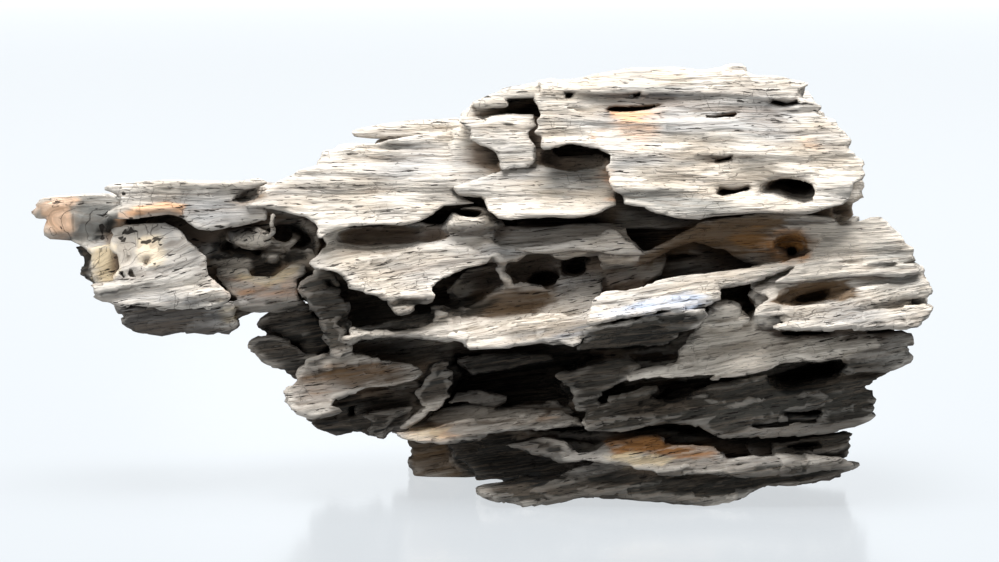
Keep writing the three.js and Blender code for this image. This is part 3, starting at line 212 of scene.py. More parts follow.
# The upper block: the broad weathered face, in its broken sheets.
UPPER = [
    ledge("shoulder_sheet", -36, 24, 0.62, [
        [243, 208], [253, 199], [266, 193], [271, 182], [284, 177], [300, 166], [316, 163], [319, 150],
        [333, 147], [342, 142], [380, 140], [456, 126], [462, 138], [466, 150], [480, 157], [496, 164],
        [499, 171], [492, 179], [470, 183], [488, 194], [487, 204], [462, 207], [444, 208], [432, 215],
        [416, 224], [404, 227], [384, 227], [350, 229], [336, 231], [322, 242], [317, 238], [312, 226],
        [304, 218], [290, 214], [270, 211], [248, 211],
    ], 0.55),
    hollow("beak_gap", -40, -8, [
        [220, 201], [234, 195], [247, 189], [260, 182], [270, 181], [266, 190], [252, 202], [240, 206],
    ], [0, 0], 0.05, 1.6),
    ledge("shoulder_scale", 4, 34, 0.5, [
        [348, 131], [356, 127], [380, 122], [410, 119], [460, 117], [464, 126], [440, 136], [380, 138],
        [362, 138], [350, 137],
    ], 0.4, 1.6),
    ledge("crown_back", 0, 56, 0.34, [
        [458, 122], [466, 112], [480, 100], [600, 80], [740, 72], [808, 92], [818, 112], [842, 140],
        [860, 168], [862, 196], [854, 206], [856, 220], [836, 222], [700, 230], [520, 226], [480, 170],
    ], 0.2),
    ledge("crown_left_sheet", -24, 24, 0.5, [
        [458, 122], [466, 116], [500, 112], [534, 112], [536, 126], [532, 136], [538, 150], [530, 168],
        [500, 172], [499, 160], [492, 152], [478, 146], [468, 138],
    ], 0.4),
    ledge("crown_left_back", -18, 30, 0.45, [
        [452, 130], [470, 118], [520, 114], [548, 120], [560, 160], [530, 190], [470, 190], [452, 160],
    ], 0.1),
    ledge("brow", -14, 34, 0.6, [
        [469, 106], [472, 101], [482, 97], [510, 86], [540, 80], [560, 78], [560, 98], [536, 99],
        [512, 100], [508, 109], [490, 112], [478, 112],
    ], 0.3),
    ledge("centre_sheet", -40, 20, 0.82, [
        [450, 184], [470, 178], [500, 170], [506, 156], [536, 148], [600, 148], [618, 166], [619, 208],
        [600, 215], [576, 220], [556, 219], [530, 220], [506, 223], [496, 223], [488, 212], [486, 203],
        [452, 199],
    ], 0.5),
    ledge("crown", -50, 30, 0.56, [
        [536, 81], [570, 76], [600, 71], [630, 67], [660, 65], [715, 66], [730, 63], [741, 63],
        [756, 74], [783, 74], [806, 80], [814, 86], [810, 92], [817, 96], [816, 102], [823, 112],
        [836, 121], [846, 131], [852, 143], [854, 149], [866, 163], [872, 175], [866, 181], [856, 184],
        [854, 199], [838, 208], [815, 214], [790, 214], [765, 215], [740, 217], [716, 219], [700, 223],
        [680, 221], [656, 216], [640, 209], [619, 205], [617, 196], [606, 182], [609, 168], [604, 156],
        [596, 150], [570, 152], [546, 152], [541, 148], [538, 136], [531, 132], [536, 116], [534, 100],
    ], 0.5),
    pocket("crown_pocket", [570, 156, -16], [18, 8, 15], 0),
    hollow("brow_slot", -30, 8, [
        [474, 112], [484, 116], [500, 112], [514, 102], [538, 100], [534, 115], [516, 114], [502, 120],
        [484, 124],
    ], [0, -0.05], 0.05, 2.5),
    groove("sheet_crack", 2.4, [
        [460, 122, -14], [467, 138, -18], [471, 150, -22], [486, 157, -24], [500, 164, -26],
    ]),
    hollow("crown_eye", -46, 22, [
        [757, 190], [766, 182], [782, 180], [800, 180], [814, 186], [817, 194], [812, 204], [800, 208],
        [786, 205], [772, 199], [760, 197],
    ], [0.1, -0.1], 0.1, 5),
    hollow("crown_slit", -46, -16, [
        [713, 194], [719, 188], [736, 190], [749, 186], [752, 191], [738, 196], [722, 197],
    ], [0, -0.05], 0.05, 1.2),
    hollow("crown_slot", -24, 0, [
        [606, 108], [619, 104], [643, 107], [662, 106], [648, 113], [628, 113], [609, 112],
    ], [0, -0.05], 0.05, 1.2),
    hollow("temple_slot", -24, 0, [
        [762, 104], [770, 99], [784, 102], [797, 100], [800, 106], [780, 108],
    ], [0, -0.05], 0.05, 1.2),
    groove("temple_notch", 3, [[800, 95, -18], [806, 92, -10], [814, 92, 0]]),
    hollow("cheek_slot", -36, -4, [
        [447, 190], [458, 195], [482, 197], [489, 202], [484, 206], [462, 204], [452, 200],
    ], [0, -0.1], 0.05, 1.6),
    pocket("crown_end", [846, 214, -6], [9, 7, 22], -20),
]

# The middle: the pointed lobe, the hollows under the upper sheets, the blade and the long shelf.
MIDDLE = [
    ledge("lobe", -54, 8, 0.75, [
        [305, 263], [312, 256], [320, 246], [334, 242], [352, 248], [390, 249], [430, 244], [470, 246],
        [494, 254], [486, 263], [462, 270], [442, 280], [433, 290], [437, 300], [431, 307], [416, 306],
        [409, 315], [398, 318], [389, 310], [380, 298], [364, 292], [350, 288], [342, 278], [330, 271],
        [312, 269],
    ], 0.55),
    ledge("lobe_root", -27, 20, 0.3, [
        [320, 230], [420, 222], [500, 224], [620, 222], [640, 250], [560, 262], [520, 262], [470, 262],
        [400, 262], [330, 262],
    ], 0.1),
    pocket("lobe_hollow", [384, 236, -24], [25, 5.2, 13], 2),
    pocket("lobe_bay", [438, 229, -24], [13, 6.5, 12], 14),
    boulder("bowl", [470, 224, -14], [14, 8, 16], 8),
    hollow("bowl_eye", -32, 26, [
        [451, 209], [470, 208], [486, 210], [480, 216], [468, 220], [456, 217],
    ], [0, 0.05], 0.03, 2.5),
    groove("long_flute", 6.4, [[506, 232, -22], [540, 230, -20], [580, 230, -20], [612, 226, -18]]),
    ledge("pillar", -34, 2, 0.3, [
        [512, 247], [536, 244], [566, 242], [600, 236], [606, 230], [616, 229], [630, 242], [640, 250],
        [656, 255], [620, 255], [580, 253], [540, 253], [514, 251],
    ], 0.3, 1.6),
    hollow("right_flute", -36, 6, [
        [622, 214], [640, 214], [664, 226], [668, 238], [650, 244], [640, 246], [634, 232], [620, 222],
    ], [0.1, 0], 0.12, 4),
    ledge("arch", -36, 20, -0.35, [
        [600, 256], [640, 252], [668, 240], [700, 222], [760, 214], [800, 212], [836, 218], [840, 226],
        [816, 250], [792, 262], [760, 266], [740, 262], [720, 250], [696, 244], [672, 250], [656, 262],
        [630, 268], [600, 270],
    ], 0.25),
    hollow("arch_mouth", -40, 34, [
        [640, 286], [654, 270], [674, 258], [696, 254], [716, 256], [740, 266], [744, 272], [690, 284],
    ], [-0.1, -0.12], 0.1, 6),
    ledge("honey_cup", -34, 20, -0.25, [
        [780, 218], [830, 216], [842, 232], [812, 262], [780, 264], [764, 246],
    ], 0.2),
    pocket("honey_funnel", [792, 247, -34], [8.5, 6, 11], -8),
    pocket("honey_hole", [793, 252, -22], [3.2, 2.4, 12], 0),
    ledge("trough", -46, 12, 1.05, [
        [446, 284], [470, 268], [500, 256], [530, 250], [572, 252], [596, 260], [606, 290], [600, 322],
        [540, 330], [460, 336], [420, 334], [350, 336], [345, 322], [440, 306],
    ], 0.2),
    pocket("left_den", [449, 299, -20], [7.5, 4.2, 20], -6),
    pocket("left_flute", [474, 286, -18], [19, 9, 13], 24),
    pocket("arcade", [534, 270, -16], [16, 11, 14], 4),
    pocket("arcade_den", [544, 280, -6], [9, 4.4, 22], 0),
    pocket("second_den", [577, 266, -10], [7.5, 5.5, 20], 20),
    strand("dividing_fin", 2.2, [[496, 256, -28], [501, 270, -22], [506, 288, -24]]),
    strand("eye_lid", 1.6, [
        [506, 292, -24], [520, 288, -21], [536, 289, -21], [550, 296, -24], [556, 304, -28],
    ]),
    ledge("back_wall", -14, 20, 0.2, [
        [590, 256], [650, 258], [668, 250], [660, 276], [640, 292], [600, 292], [584, 286],
    ], 0.1),
    ledge("long_shelf", -66, 8, 0.85, [
        [445, 338], [452, 333], [480, 328], [504, 320], [540, 314], [572, 312], [600, 306], [598, 324],
        [588, 334], [582, 344], [574, 349], [560, 347], [520, 348], [490, 350], [466, 352], [462, 346],
        [448, 343],
    ], 0.6),
    pocket("knot_hole", [575, 313, -42], [6.5, 2.5, 10], 6),
    ledge("rail", -48, 0, 0.4, [
        [340, 340], [360, 334], [400, 331], [450, 333], [454, 340], [400, 337], [360, 338], [344, 346],
    ], 0.3, 1.4),
    pocket("trough_bowl", [504, 300, -34], [34, 8.5, 13], 6),
    pocket("trough_shade", [388, 320, -30], [26, 8, 16], 2),
    hollow("rail_den", -40, 26, [
        [346, 300], [358, 294], [376, 296], [388, 308], [392, 318], [372, 308], [352, 304],
    ], [0, 0], 0.1, 4),
    ledge("blade", -74, 4, 0.95, [
        [586, 312], [592, 300], [604, 293], [640, 287], [660, 279], [700, 272], [750, 265], [800, 258],
        [800, 266], [776, 274], [757, 283], [738, 287], [722, 291], [719, 299], [715, 305], [698, 309],
        [660, 314], [630, 320], [604, 324], [582, 328],
    ], 0.5),
    ledge("blade_keel", -70, 2, -0.9, [
        [580, 328], [620, 320], [680, 311], [716, 305], [706, 314], [700, 326], [682, 332], [664, 345],
        [620, 347], [592, 348], [574, 350], [584, 340],
    ], 0.3),
    ledge("pebble", -48, 0, 0.25, [
        [702, 318], [712, 305], [736, 303], [742, 313], [748, 319], [742, 327], [720, 330], [698, 328],
    ], 0.3, 4),
    hollow("blade_notch", -58, 14, [
        [722, 292], [742, 286], [758, 294], [762, 300], [750, 301], [736, 300], [724, 301],
    ], [0, -0.1], 0.05, 3),
    hollow("pebble_den", -50, 30, [
        [737, 305], [748, 300], [757, 303], [758, 309], [748, 315], [740, 311],
    ], [0, 0], 0.05, 3),
]

# The right-hand shelves, which end in broken fingers of different lengths.
SHELVES = [
    ledge("shelf_backing", -40, 12, 0.1, [
        [752, 268], [800, 256], [900, 256], [922, 268], [926, 318], [900, 328], [770, 330], [748, 320],
    ], 0.1),
    ledge("shelf_one", -44, 26, 0.5, [
        [812, 250], [824, 236], [838, 226], [850, 223], [864, 220], [875, 216], [884, 215], [889, 222],
        [900, 233], [906, 243], [913, 244], [915, 252], [915, 261], [900, 263], [872, 266], [850, 264],
        [800, 268], [790, 262],
    ], 0.2),
    ledge("shelf_two", -58, 20, 0.75, [
        [752, 290], [762, 282], [790, 268], [830, 262], [868, 268], [915, 264], [921, 269], [928, 283],
        [931, 291], [926, 298], [900, 300], [870, 303], [830, 309], [800, 313], [770, 317], [748, 318],
        [752, 310], [770, 300],
    ], 0.25),
    groove("shelf_gap_one", 1.5, [[872, 265, -46], [890, 264, -44], [916, 262, -40], [924, 262, 0]]),
    pocket("long_den", [813, 294, -52], [20, 6, 11], 9),
    pocket("long_den_deep", [814, 297, -40], [9, 3, 16], 9),
    groove("shelf_gap_two", 1.5, [
        [772, 323, -58], [800, 318, -58], [850, 309, -58], [900, 304, -54], [934, 300, -50],
    ]),
    groove("shelf_gap_deep", 1.8, [[888, 305, -40], [906, 303, -20], [930, 301, 10], [930, 298, 50]]),
    ledge("shelf_three", -62, 24, 0.6, [
        [762, 326], [800, 320], [824, 313], [860, 309], [900, 305], [926, 302], [932, 308], [931, 317],
        [925, 321], [923, 328], [890, 330], [850, 332], [810, 333], [784, 332],
    ], 0.25),
    ledge("bright_facet", -52, 6, 0.62, [
        [672, 352], [688, 338], [700, 326], [704, 312], [716, 304], [738, 302], [750, 318], [762, 323],
        [790, 334], [830, 340], [800, 352], [760, 362], [720, 372], [660, 380], [624, 382], [628, 374],
        [660, 368], [676, 362],
    ], 0.4),
    pocket("facet_shadow", [776, 339, -52], [10, 3.4, 12], 8),
    ledge("shelf_four", -50, 24, 0.45, [
        [800, 334], [860, 328], [917, 331], [918, 336], [916, 344], [909, 346], [911, 357], [908, 363],
        [890, 370], [850, 374], [800, 366], [760, 372], [700, 384], [720, 366], [780, 350],
    ], 0.4),
    hollow("finger_cave", -56, 10, [
        [866, 331], [884, 328], [906, 328], [914, 331], [896, 336], [874, 337],
    ], [0, -0.1], 0.05, 2.5),
    groove("shelf_gap_three", 1.9, [[820, 351, -52], [860, 346, -52], [890, 341, -50], [918, 338, -42]]),
    ledge("shelf_five", -52, 24, 0.4, [
        [640, 398], [700, 386], [760, 374], [850, 364], [898, 367], [884, 377], [868, 387], [871, 393],
        [878, 401], [877, 417], [862, 426], [830, 433], [780, 438], [720, 440], [690, 424], [650, 426],
        [600, 430],
    ], 0.4),
    hollow("black_den", -48, 34, [
        [764, 378], [784, 371], [820, 362], [842, 358], [848, 365], [836, 382], [816, 390], [796, 393],
        [778, 390], [767, 384],
    ], [0, -0.05], 0.06, 5),
    hollow("low_slot", -48, 16, [
        [782, 410], [800, 411], [822, 408], [826, 413], [808, 418], [790, 419],
    ], [0, -0.1], 0.05, 2.5),
    groove("five_gap", 2.0, [[700, 402, -50], [760, 396, -52], [800, 398, -50]]),
    groove("six_gap", 2.6, [[700, 432, -44], [760, 428, -46], [830, 420, -44], [870, 412, -38]]),
    ledge("six_root", -22, 30, 0.1, [[750, 436], [846, 434], [848, 456], [800, 464], [750, 464]], 0.05),
    ledge("shelf_six", -44, 24, 0.3, [
        [770, 440], [830, 433], [851, 429], [849, 436], [851, 441], [848, 447], [836, 455], [800, 458],
        [770, 456],
    ], 0.3),
    hollow("six_den", -44, 0, [
        [780, 446], [800, 441], [820, 440], [826, 448], [812, 453], [790, 451],
    ], [0, 0], 0.1, 3),
]

# The lower left: dark lobes, the pale lobe and the web that carries them, with caves between.
LOWER_LEFT = [
    ledge("web", -34, 16, 0.25, [
        [298, 296], [297, 288], [303, 280], [312, 268], [334, 270], [344, 282], [340, 296], [352, 304],
        [352, 330], [344, 340], [352, 352], [340, 360], [324, 356], [326, 344], [318, 322], [308, 304],
    ], 0.4),
    hollow("web_shade", -34, 4, [
        [320, 276], [332, 274], [344, 286], [340, 292], [326, 290],
    ], [0, 0], 0.15, 3),
    ledge("dark_lobe_upper", -6, 34, -0.25, [
        [255, 325], [260, 319], [267, 314], [280, 308], [310, 304], [326, 330], [326, 352], [305, 358],
        [296, 344], [282, 335], [268, 334], [259, 329],
    ], 0.25),
    ledge("dark_lobe_lower", -10, 34, -0.2, [
        [244, 347], [252, 339], [266, 336], [286, 338], [304, 352], [320, 352], [320, 376], [296, 378],
        [278, 368], [262, 362], [256, 354],
    ], 0.25),
    ledge("pale_lobe", -46, 20, 0.55, [
        [297, 378], [298, 369], [304, 361], [325, 354], [345, 348], [372, 356], [400, 362], [421, 369],
        [424, 376], [414, 383], [394, 388], [366, 391], [348, 394], [337, 399], [337, 406], [344, 411],
        [330, 418], [312, 421], [298, 416], [286, 406], [282, 398], [283, 390],
    ], 0.5),
    hollow("upper_cave", -44, 24, [
        [346, 342], [364, 339], [400, 337], [436, 341], [448, 348], [430, 360], [410, 364], [372, 356],
        [356, 350],
    ], [0.1, -0.05], 0.12, 5),
    ledge("cave_back", 4, 40, 0, [
        [308, 418], [318, 396], [344, 384], [380, 378], [414, 378], [430, 400], [424, 424], [398, 431],
        [388, 431], [382, 439], [362, 431], [350, 430], [334, 434], [320, 430],
    ], 0.05),
    ledge("lobe_back", 12, 38, 0, [
        [266, 320], [330, 300], [360, 330], [344, 380], [306, 384], [284, 368], [270, 344],
    ], 0.05),
    hollow("hook_cave", -44, 18, [
        [338, 402], [346, 395], [372, 392], [404, 390], [412, 398], [404, 406], [376, 408], [366, 410],
        [374, 420], [356, 426], [324, 428], [320, 420], [340, 414],
    ], [0, 0], 0.1, 4),
    ledge("hook", -26, 20, 0.2, [
        [359, 413], [376, 409], [412, 404], [414, 410], [398, 415], [392, 424], [392, 430], [382, 439],
        [366, 432], [374, 422], [366, 418],
    ], 0.3),
    ledge("curled_flake", -34, 10, -0.1, [
        [416, 392], [424, 388], [428, 380], [432, 368], [438, 362], [445, 358], [449, 364], [446, 370],
        [454, 372], [451, 379], [456, 384], [449, 390], [450, 397], [441, 400], [438, 407], [430, 414],
        [420, 420], [410, 429], [396, 431], [408, 420], [424, 406],
    ], 0.3, 1.0),
]

# The lower middle: the great cavity, the claws at its edges, and the band of honey wood.
LOWER_MIDDLE = [
    hollow("great_cavity", 0, 26, [
        [450, 352], [500, 350], [560, 350], [607, 349], [612, 356], [592, 363], [576, 372], [562, 384],
        [573, 396], [568, 408], [520, 412], [470, 416], [436, 412], [450, 392], [456, 376],
    ], [0, 0.02], 0.12, 7),
    hollow("facet_cave", -10, 14, [
        [616, 350], [660, 347], [690, 352], [684, 360], [660, 366], [634, 362],
    ], [0, 0], 0.12, 4),
    ledge("inner_tongue", -14, 20, 0.5, [
        [456, 360], [500, 352], [546, 352], [560, 360], [500, 370], [470, 374],
    ], 0.2),
    ledge("inner_flake", -20, 24, 0.4, [
        [446, 404], [455, 392], [482, 389], [496, 394], [508, 396], [506, 402], [495, 408], [480, 404],
        [464, 401],
    ], 0.3, 1.4),
    ledge("claw", -50, 10, 0.45, [
        [553, 373], [561, 370], [576, 368], [592, 361], [608, 357], [626, 357], [644, 365], [640, 374],
        [618, 384], [606, 392], [600, 404], [590, 412], [572, 412], [574, 400], [570, 391], [560, 386],
    ], 0.45),
    strand("claw_thread", 1.4, [[608, 343, -60], [612, 352, -54], [619, 365, -46]]),
    ledge("low_claw", -56, 10, 0.55, [
        [581, 424], [584, 418], [588, 410], [604, 402], [612, 394], [630, 392], [650, 384], [680, 378],
        [700, 380], [712, 396], [730, 402], [706, 409], [680, 420], [650, 428], [620, 432], [588, 434],
        [584, 428],
    ], 0.5),
    hollow("claw_den", -50, 30, [
        [634, 408], [646, 394], [664, 384], [690, 379], [708, 379], [711, 388], [700, 396], [680, 404],
        [660, 410],
    ], [0.05, -0.05], 0.1, 5),
    ledge("amber_wedge", -44, 14, 0.55, [
        [396, 431], [420, 427], [450, 422], [490, 416], [530, 413], [560, 410], [584, 420], [588, 430],
        [560, 428], [520, 431], [494, 435], [478, 442], [446, 445], [414, 443], [400, 440],
    ], 0.5),
    hollow("wedge_cave", -30, 20, [
        [484, 440], [516, 432], [556, 429], [588, 434], [606, 442], [596, 450], [560, 446], [540, 438],
        [516, 443],
    ], [0, 0], 0.12, 4),
    ledge("tongue", -52, 12, 0.7, [
        [480, 443], [516, 441], [544, 436], [566, 442], [580, 451], [600, 452], [612, 460], [592, 461],
        [560, 464], [554, 460], [536, 456], [516, 448],
    ], 0.5),
    ledge("honey_band", -58, 14, 0.6, [
        [590, 452], [606, 440], [640, 432], [656, 432], [668, 442], [700, 443], [716, 443], [728, 456],
        [760, 454], [800, 454], [846, 458], [858, 462], [850, 470], [800, 474], [740, 478], [700, 476],
        [656, 476], [640, 471], [622, 465], [596, 462],
    ], 0.45),
    hollow("belly_cave", -40, 20, [
        [562, 467], [600, 464], [630, 467], [652, 475], [620, 479], [590, 478], [570, 474],
    ], [0, 0], 0.06, 3),
    groove("band_gap", 2.8, [[690, 478, -60], [740, 475, -60], [790, 471, -58]]),
    hollow("band_cave", -30, 24, [
        [670, 404], [700, 412], [740, 412], [780, 424], [760, 438], [720, 441], [690, 440], [672, 430],
        [640, 430],
    ], [0, 0], 0.2, 5),
]

# What the block stands on: the long bottom sheet, the stub behind it and a hidden heel.
FEET = [
    ledge("bottom_sheet", -58, -16, 0.75, [
        [480, 491], [486, 487], [500, 485], [522, 479], [560, 477], [600, 480], [650, 476], [700, 474],
        [760, 472], [800, 467], [856, 463], [850, 470], [826, 478], [800, 482], [762, 485], [748, 491],
        [733, 500], [712, 504], [690, 503], [660, 499], [620, 498], [584, 495], [564, 500], [540, 505],
        [522, 505], [498, 500], [486, 496],
    ], 0),
    ledge("bottom_root", -46, -8, 0, [
        [560, 474], [600, 462], [700, 460], [780, 458], [800, 470], [740, 482], [640, 484], [580, 482],
    ], 0.05),
    ledge("back_root", -10, 44, 0, [
        [480, 430], [600, 430], [780, 430], [800, 440], [760, 456], [700, 462], [560, 462], [480, 452],
    ], 0.05),
    ledge("dark_mass", -8, 16, 0.1, [
        [452, 440], [500, 436], [560, 444], [600, 462], [590, 474], [556, 480], [512, 481], [500, 478],
        [476, 480], [472, 468], [458, 456],
    ], 0.1),
    ledge("stub", 16, 48, 0.1, [
        [409, 464], [412, 456], [414, 448], [410, 438], [450, 430], [480, 440], [478, 478], [460, 482],
        [430, 482], [414, 476],
    ], 0.05, 4),
    ledge("heel", 32, 64, 0, [
        [640, 430], [740, 430], [742, 462], [736, 486], [660, 488], [648, 462],
    ], 0.05, 4),
]

# The far side: rows of broken shelves along the grain, with dens between them. Each row has its
# two ends in the view's pixels and its number of pieces, whose edges are ragged by a fixed rule.
FAR_ROWS = [
    [520, 796, 2], [430, 824, 3], [330, 848, 3], [300, 846, 4], [322, 862, 3], [322, 900, 4],
    [336, 902, 3], [352, 876, 4], [392, 862, 3], [440, 812, 3],
]
FAR_TOP_PX = 86  # where the first row begins
FAR_PITCH_PX = 37  # from one row to the next
FAR_RISE = 0.11  # how fast the rows rise to the right
FAR_FACE = 68  # how far behind the middle plane the rows reach, in mm
FAR_STEPS = 7  # points along each edge of a piece
FAR_END_THICKNESS = 0.45  # a piece's thickness at its ends, as a share of its middle's
FAR_ROOT = 10  # how far behind the middle plane the pieces start, in mm
FAR_MIDDLE_ROW = 4.5
FAR_BACK_OFF = 20  # how much less far the first and last rows reach, in mm
FAR_SHOULDER_BACK_OFF = 10  # the same for the first piece of the upper rows, over the shoulder
FAR_SHOULDER_ROWS = 4


def far_shelf(row, piece, left, right, pieces):
    """One piece of a row, with the two ends of that row and the number of its pieces."""
    def stray(size, salt, end=piece):
        return size * lattice(row, end, salt)

    def share(end):
        return (end + (stray(0.25, 5, end) if end % pieces else 0)) / pieces

    def edge(t, side, salt):
        px = start + t * (stop - start)
        taper = FAR_END_THICKNESS + (1 - FAR_END_THICKNESS) * min(1, 5 * t, 5 * (1 - t))
        ragged = 1 + 0.3 * lattice(math.floor(t * FAR_STEPS + 0.5), row * 7 + piece, salt)
        rise = FAR_RISE * (px - (left + right) / 2)
        return px, height - rise + side * thick * taper * ragged + stray(4, 2)

    height = FAR_TOP_PX + (row + 0.5) * FAR_PITCH_PX
    start, stop = (left + share(end) * (right - left) for end in (piece, piece + 1))
    thick = FAR_PITCH_PX * (0.5 + stray(0.12, 1))
    along = [step / FAR_STEPS for step in range(FAR_STEPS + 1)]
    outline = [edge(t, -1, 3) for t in along] + [edge(1 - t, 1, 4) for t in along]
    from_middle = abs(row - FAR_MIDDLE_ROW) / FAR_MIDDLE_ROW
    face = FAR_FACE + stray(7, 6) - FAR_BACK_OFF * from_middle ** 2
    if row < FAR_SHOULDER_ROWS and piece == 0:
        face -= FAR_SHOULDER_BACK_OFF
    return far_ledge(f"far_shelf_{row}_{piece}", face, FAR_ROOT, 0.75 + stray(0.25, 7), outline)


FAR_SHELVES = [
    far_shelf(row, piece, *ends)
    for row, ends in enumerate(FAR_ROWS) for piece in range(ends[2])
]

# The tail's far side, and the dens between the rows
FAR_SIDE = [
    far_ledge("far_tail_upper", 30, 0, 0.4, [
        [112, 186], [150, 182], [210, 182], [262, 180], [310, 186], [330, 210], [300, 226], [240, 222],
        [180, 226], [130, 218], [106, 206],
    ]),
    far_ledge("far_tail_lower", 38, 0, 0.4, [
        [104, 236], [150, 230], [200, 232], [262, 238], [330, 236], [320, 262], [290, 262], [262, 280],
        [232, 284], [212, 300], [160, 306], [118, 300], [98, 282],
    ]),
]
FAR_DENS = [
    pocket("far_den_one", [560, 244, 66], [20, 7, 30], 8),
    pocket("far_den_two", [706, 202, 66], [24, 8, 26], 8),
    pocket("far_den_three", [470, 300, 60], [18, 8, 26], 8),
    pocket("far_den_four", [650, 312, 70], [26, 9, 34], 8),
    pocket("far_den_five", [800, 278, 62], [20, 7, 26], 8),
    pocket("far_den_six", [540, 372, 64], [20, 8, 28], 8),
    pocket("far_den_seven", [724, 376, 62], [24, 8, 26], 8),
    pocket("far_den_eight", [430, 196, 56], [18, 6, 24], 8),
    pocket("far_den_nine", [236, 232, 36], [15, 6, 16], 0),
    pocket("far_den_ten", [640, 128, 58], [18, 6, 24], 6),
]

# Small torn holes in the end of the tail: across and down in the view, and width in mm
CRAGS = [
    (121, 240, 4), (128, 256, 6), (133, 272, 4), (140, 246, 3), (147, 262, 4), (124, 274, 3),
    (152, 248, 3),
]
CRAG_DEPTH = -26  # in mm from the middle plane, below 0 where it is nearer to the view
CHEEK_FIBRES = (92, 97, 103, 109)  # where the fibres under the tail's tip stand, across the view

# The den above the low claw, as a hollow and as the stain inside it
CLAW_LENS = [
    [652, 398], [658, 386], [676, 379], [700, 378], [710, 384], [706, 392], [690, 400], [668, 403],
]

# Splits, pits and fibres, and the last corrections of the large forms.
DETAILS = [
    *(pocket(f"crag_{px}", [px, py, CRAG_DEPTH], [wide * 0.6, 1.0, 2.8], 70) for px, py, wide in CRAGS),
    *(groove(f"cheek_fibre_{px}", 0.8, [[px, 250, -12], [px + 2, 264, -14], [px - 1, 280, -12]])
      for px in CHEEK_FIBRES),
    hollow("brow_nick", -22, 0, [[556, 91], [574, 92], [570, 100], [564, 98]], (0, 0), 0.05, 1),
    hollow("top_nick", -22, -4, [[628, 94], [646, 92], [644, 98], [633, 99]], (0, 0), 0.05, 0.8),
    hollow("high_split", -28, -8, [
        [705, 114], [712, 117], [722, 113], [739, 109], [736, 117], [716, 121], [707, 120],
    ], (0, 0), 0.05, 0.8),
    hollow("mid_split", -40, -22, [[702, 159], [716, 158], [732, 154], [730, 160], [716, 163]],
           (0, 0), 0.05, 0.8),
    hollow("notch", -28, 4, [[797, 90], [812, 88], [818, 98], [806, 101]], (0, 0), 0.05, 1),
    pocket("shelf_pit_one", [853, 261, -40], [7, 1.6, 5], 6),
    pocket("shelf_pit_two", [851, 269, -48], [3.5, 1.6, 5], 0),
    pocket("shelf_pit_three", [867, 279, -50], [5, 2, 5], -50),
    ledge("wedge_slope", -26, 14, 0.8, [
        [412, 431], [440, 410], [470, 404], [510, 406], [560, 402], [576, 412], [560, 424], [500, 428],
        [440, 434],
    ], 0.2),
    pocket("window_tunnel", [283, 235, 8], [4, 4, 14]),
    pocket("window_pit", [285, 257, -4], [2.4, 1.2, 6]),
    strand("sill_strand", 1.7, [[226, 304, -18], [262, 308, -17], [300, 306, -12], [334, 306, -10]]),
    groove("cheek_line", 0.9, [[640, 378, -52], [700, 371, -50], [760, 362, -50], [820, 352, -48]]),
    groove("facet_slit", 1.1, [[764, 333, -54], [772, 330, -54], [783, 333, -52]]),
    groove("facet_hollow", 2.0, [[768, 340, -52], [780, 341, -50], [793, 345, -46]]),
    groove("keel_line", 0.9, [[596, 336, -60], [640, 330, -60], [690, 322, -56]]),
    groove("lobe_line", 0.9, [[330, 256, -36], [370, 262, -38], [400, 258, -36]]),
    groove("lobe_lip", 0.9, [[372, 294, -46], [410, 300, -48], [434, 301, -46]]),
    groove("shoulder_line_one", 1.0, [[366, 143, 2], [400, 142, -2], [430, 146, -4]]),
    groove("shoulder_line_two", 0.8, [[300, 190, -22], [350, 184, -20], [420, 190, -22]]),
    groove("shoulder_line_three", 0.8, [[290, 206, -30], [350, 210, -30], [400, 216, -32]]),
    groove("crown_line_one", 0.7, [[640, 178, -38], [700, 181, -40], [760, 176, -38]]),
    groove("crown_line_two", 0.8, [[750, 100, -16], [780, 112, -20], [812, 110, -18]]),
    groove("crown_line_three", 0.7, [[560, 110, -16], [590, 109, -18], [606, 108, -18]]),
    groove("five_line", 0.9, [[650, 412, -50], [740, 410, -50], [860, 392, -46]]),
    groove("four_line", 0.9, [[812, 354, -46], [850, 350, -46], [888, 343, -44]]),
    groove("band_line", 0.9, [[610, 446, -50], [680, 454, -54], [760, 462, -56]]),
    groove("sheet_line", 0.9, [[500, 492, -56], [580, 486, -56], [700, 486, -56], [790, 478, -56]]),
    pocket("black_den_bowl", [808, 376, -46], [19, 8.5, 15], -9),
    hollow("claw_lens", -47, -8, CLAW_LENS, (0, -0.05), 0.1, 3.5),
    ledge("shelf_flush", -51, -8, 0.5, [
        [772, 284], [790, 270], [820, 259], [880, 256], [918, 262], [924, 272], [900, 278], [850, 279],
        [810, 282],
    ], 0.2),
    strand("gap_fill", 2.4, [[786, 319, -52], [830, 312, -52], [870, 306, -50], [905, 303, -46]]),
    groove("gap_line", 0.8, [[775, 323, -58], [800, 318, -57], [845, 308, -55], [898, 303, -51]]),
    boulder("pebble_top", [727, 309, -44], [8, 4, 8], -4),
    groove("flush_line", 0.9, [[850, 268, -48], [880, 266, -46], [914, 263, -42]]),
    pocket("flush_pit", [853, 262, -46], [6, 1.5, 4], 6),
]

FORMS = [
    *HEART, *FEET, *FAR_SHELVES, *FAR_SIDE, *FAR_DENS,
    *LOWER_MIDDLE, *LOWER_LEFT, *SHELVES, *MIDDLE, *TAIL, *UPPER, *DETAILS,
]


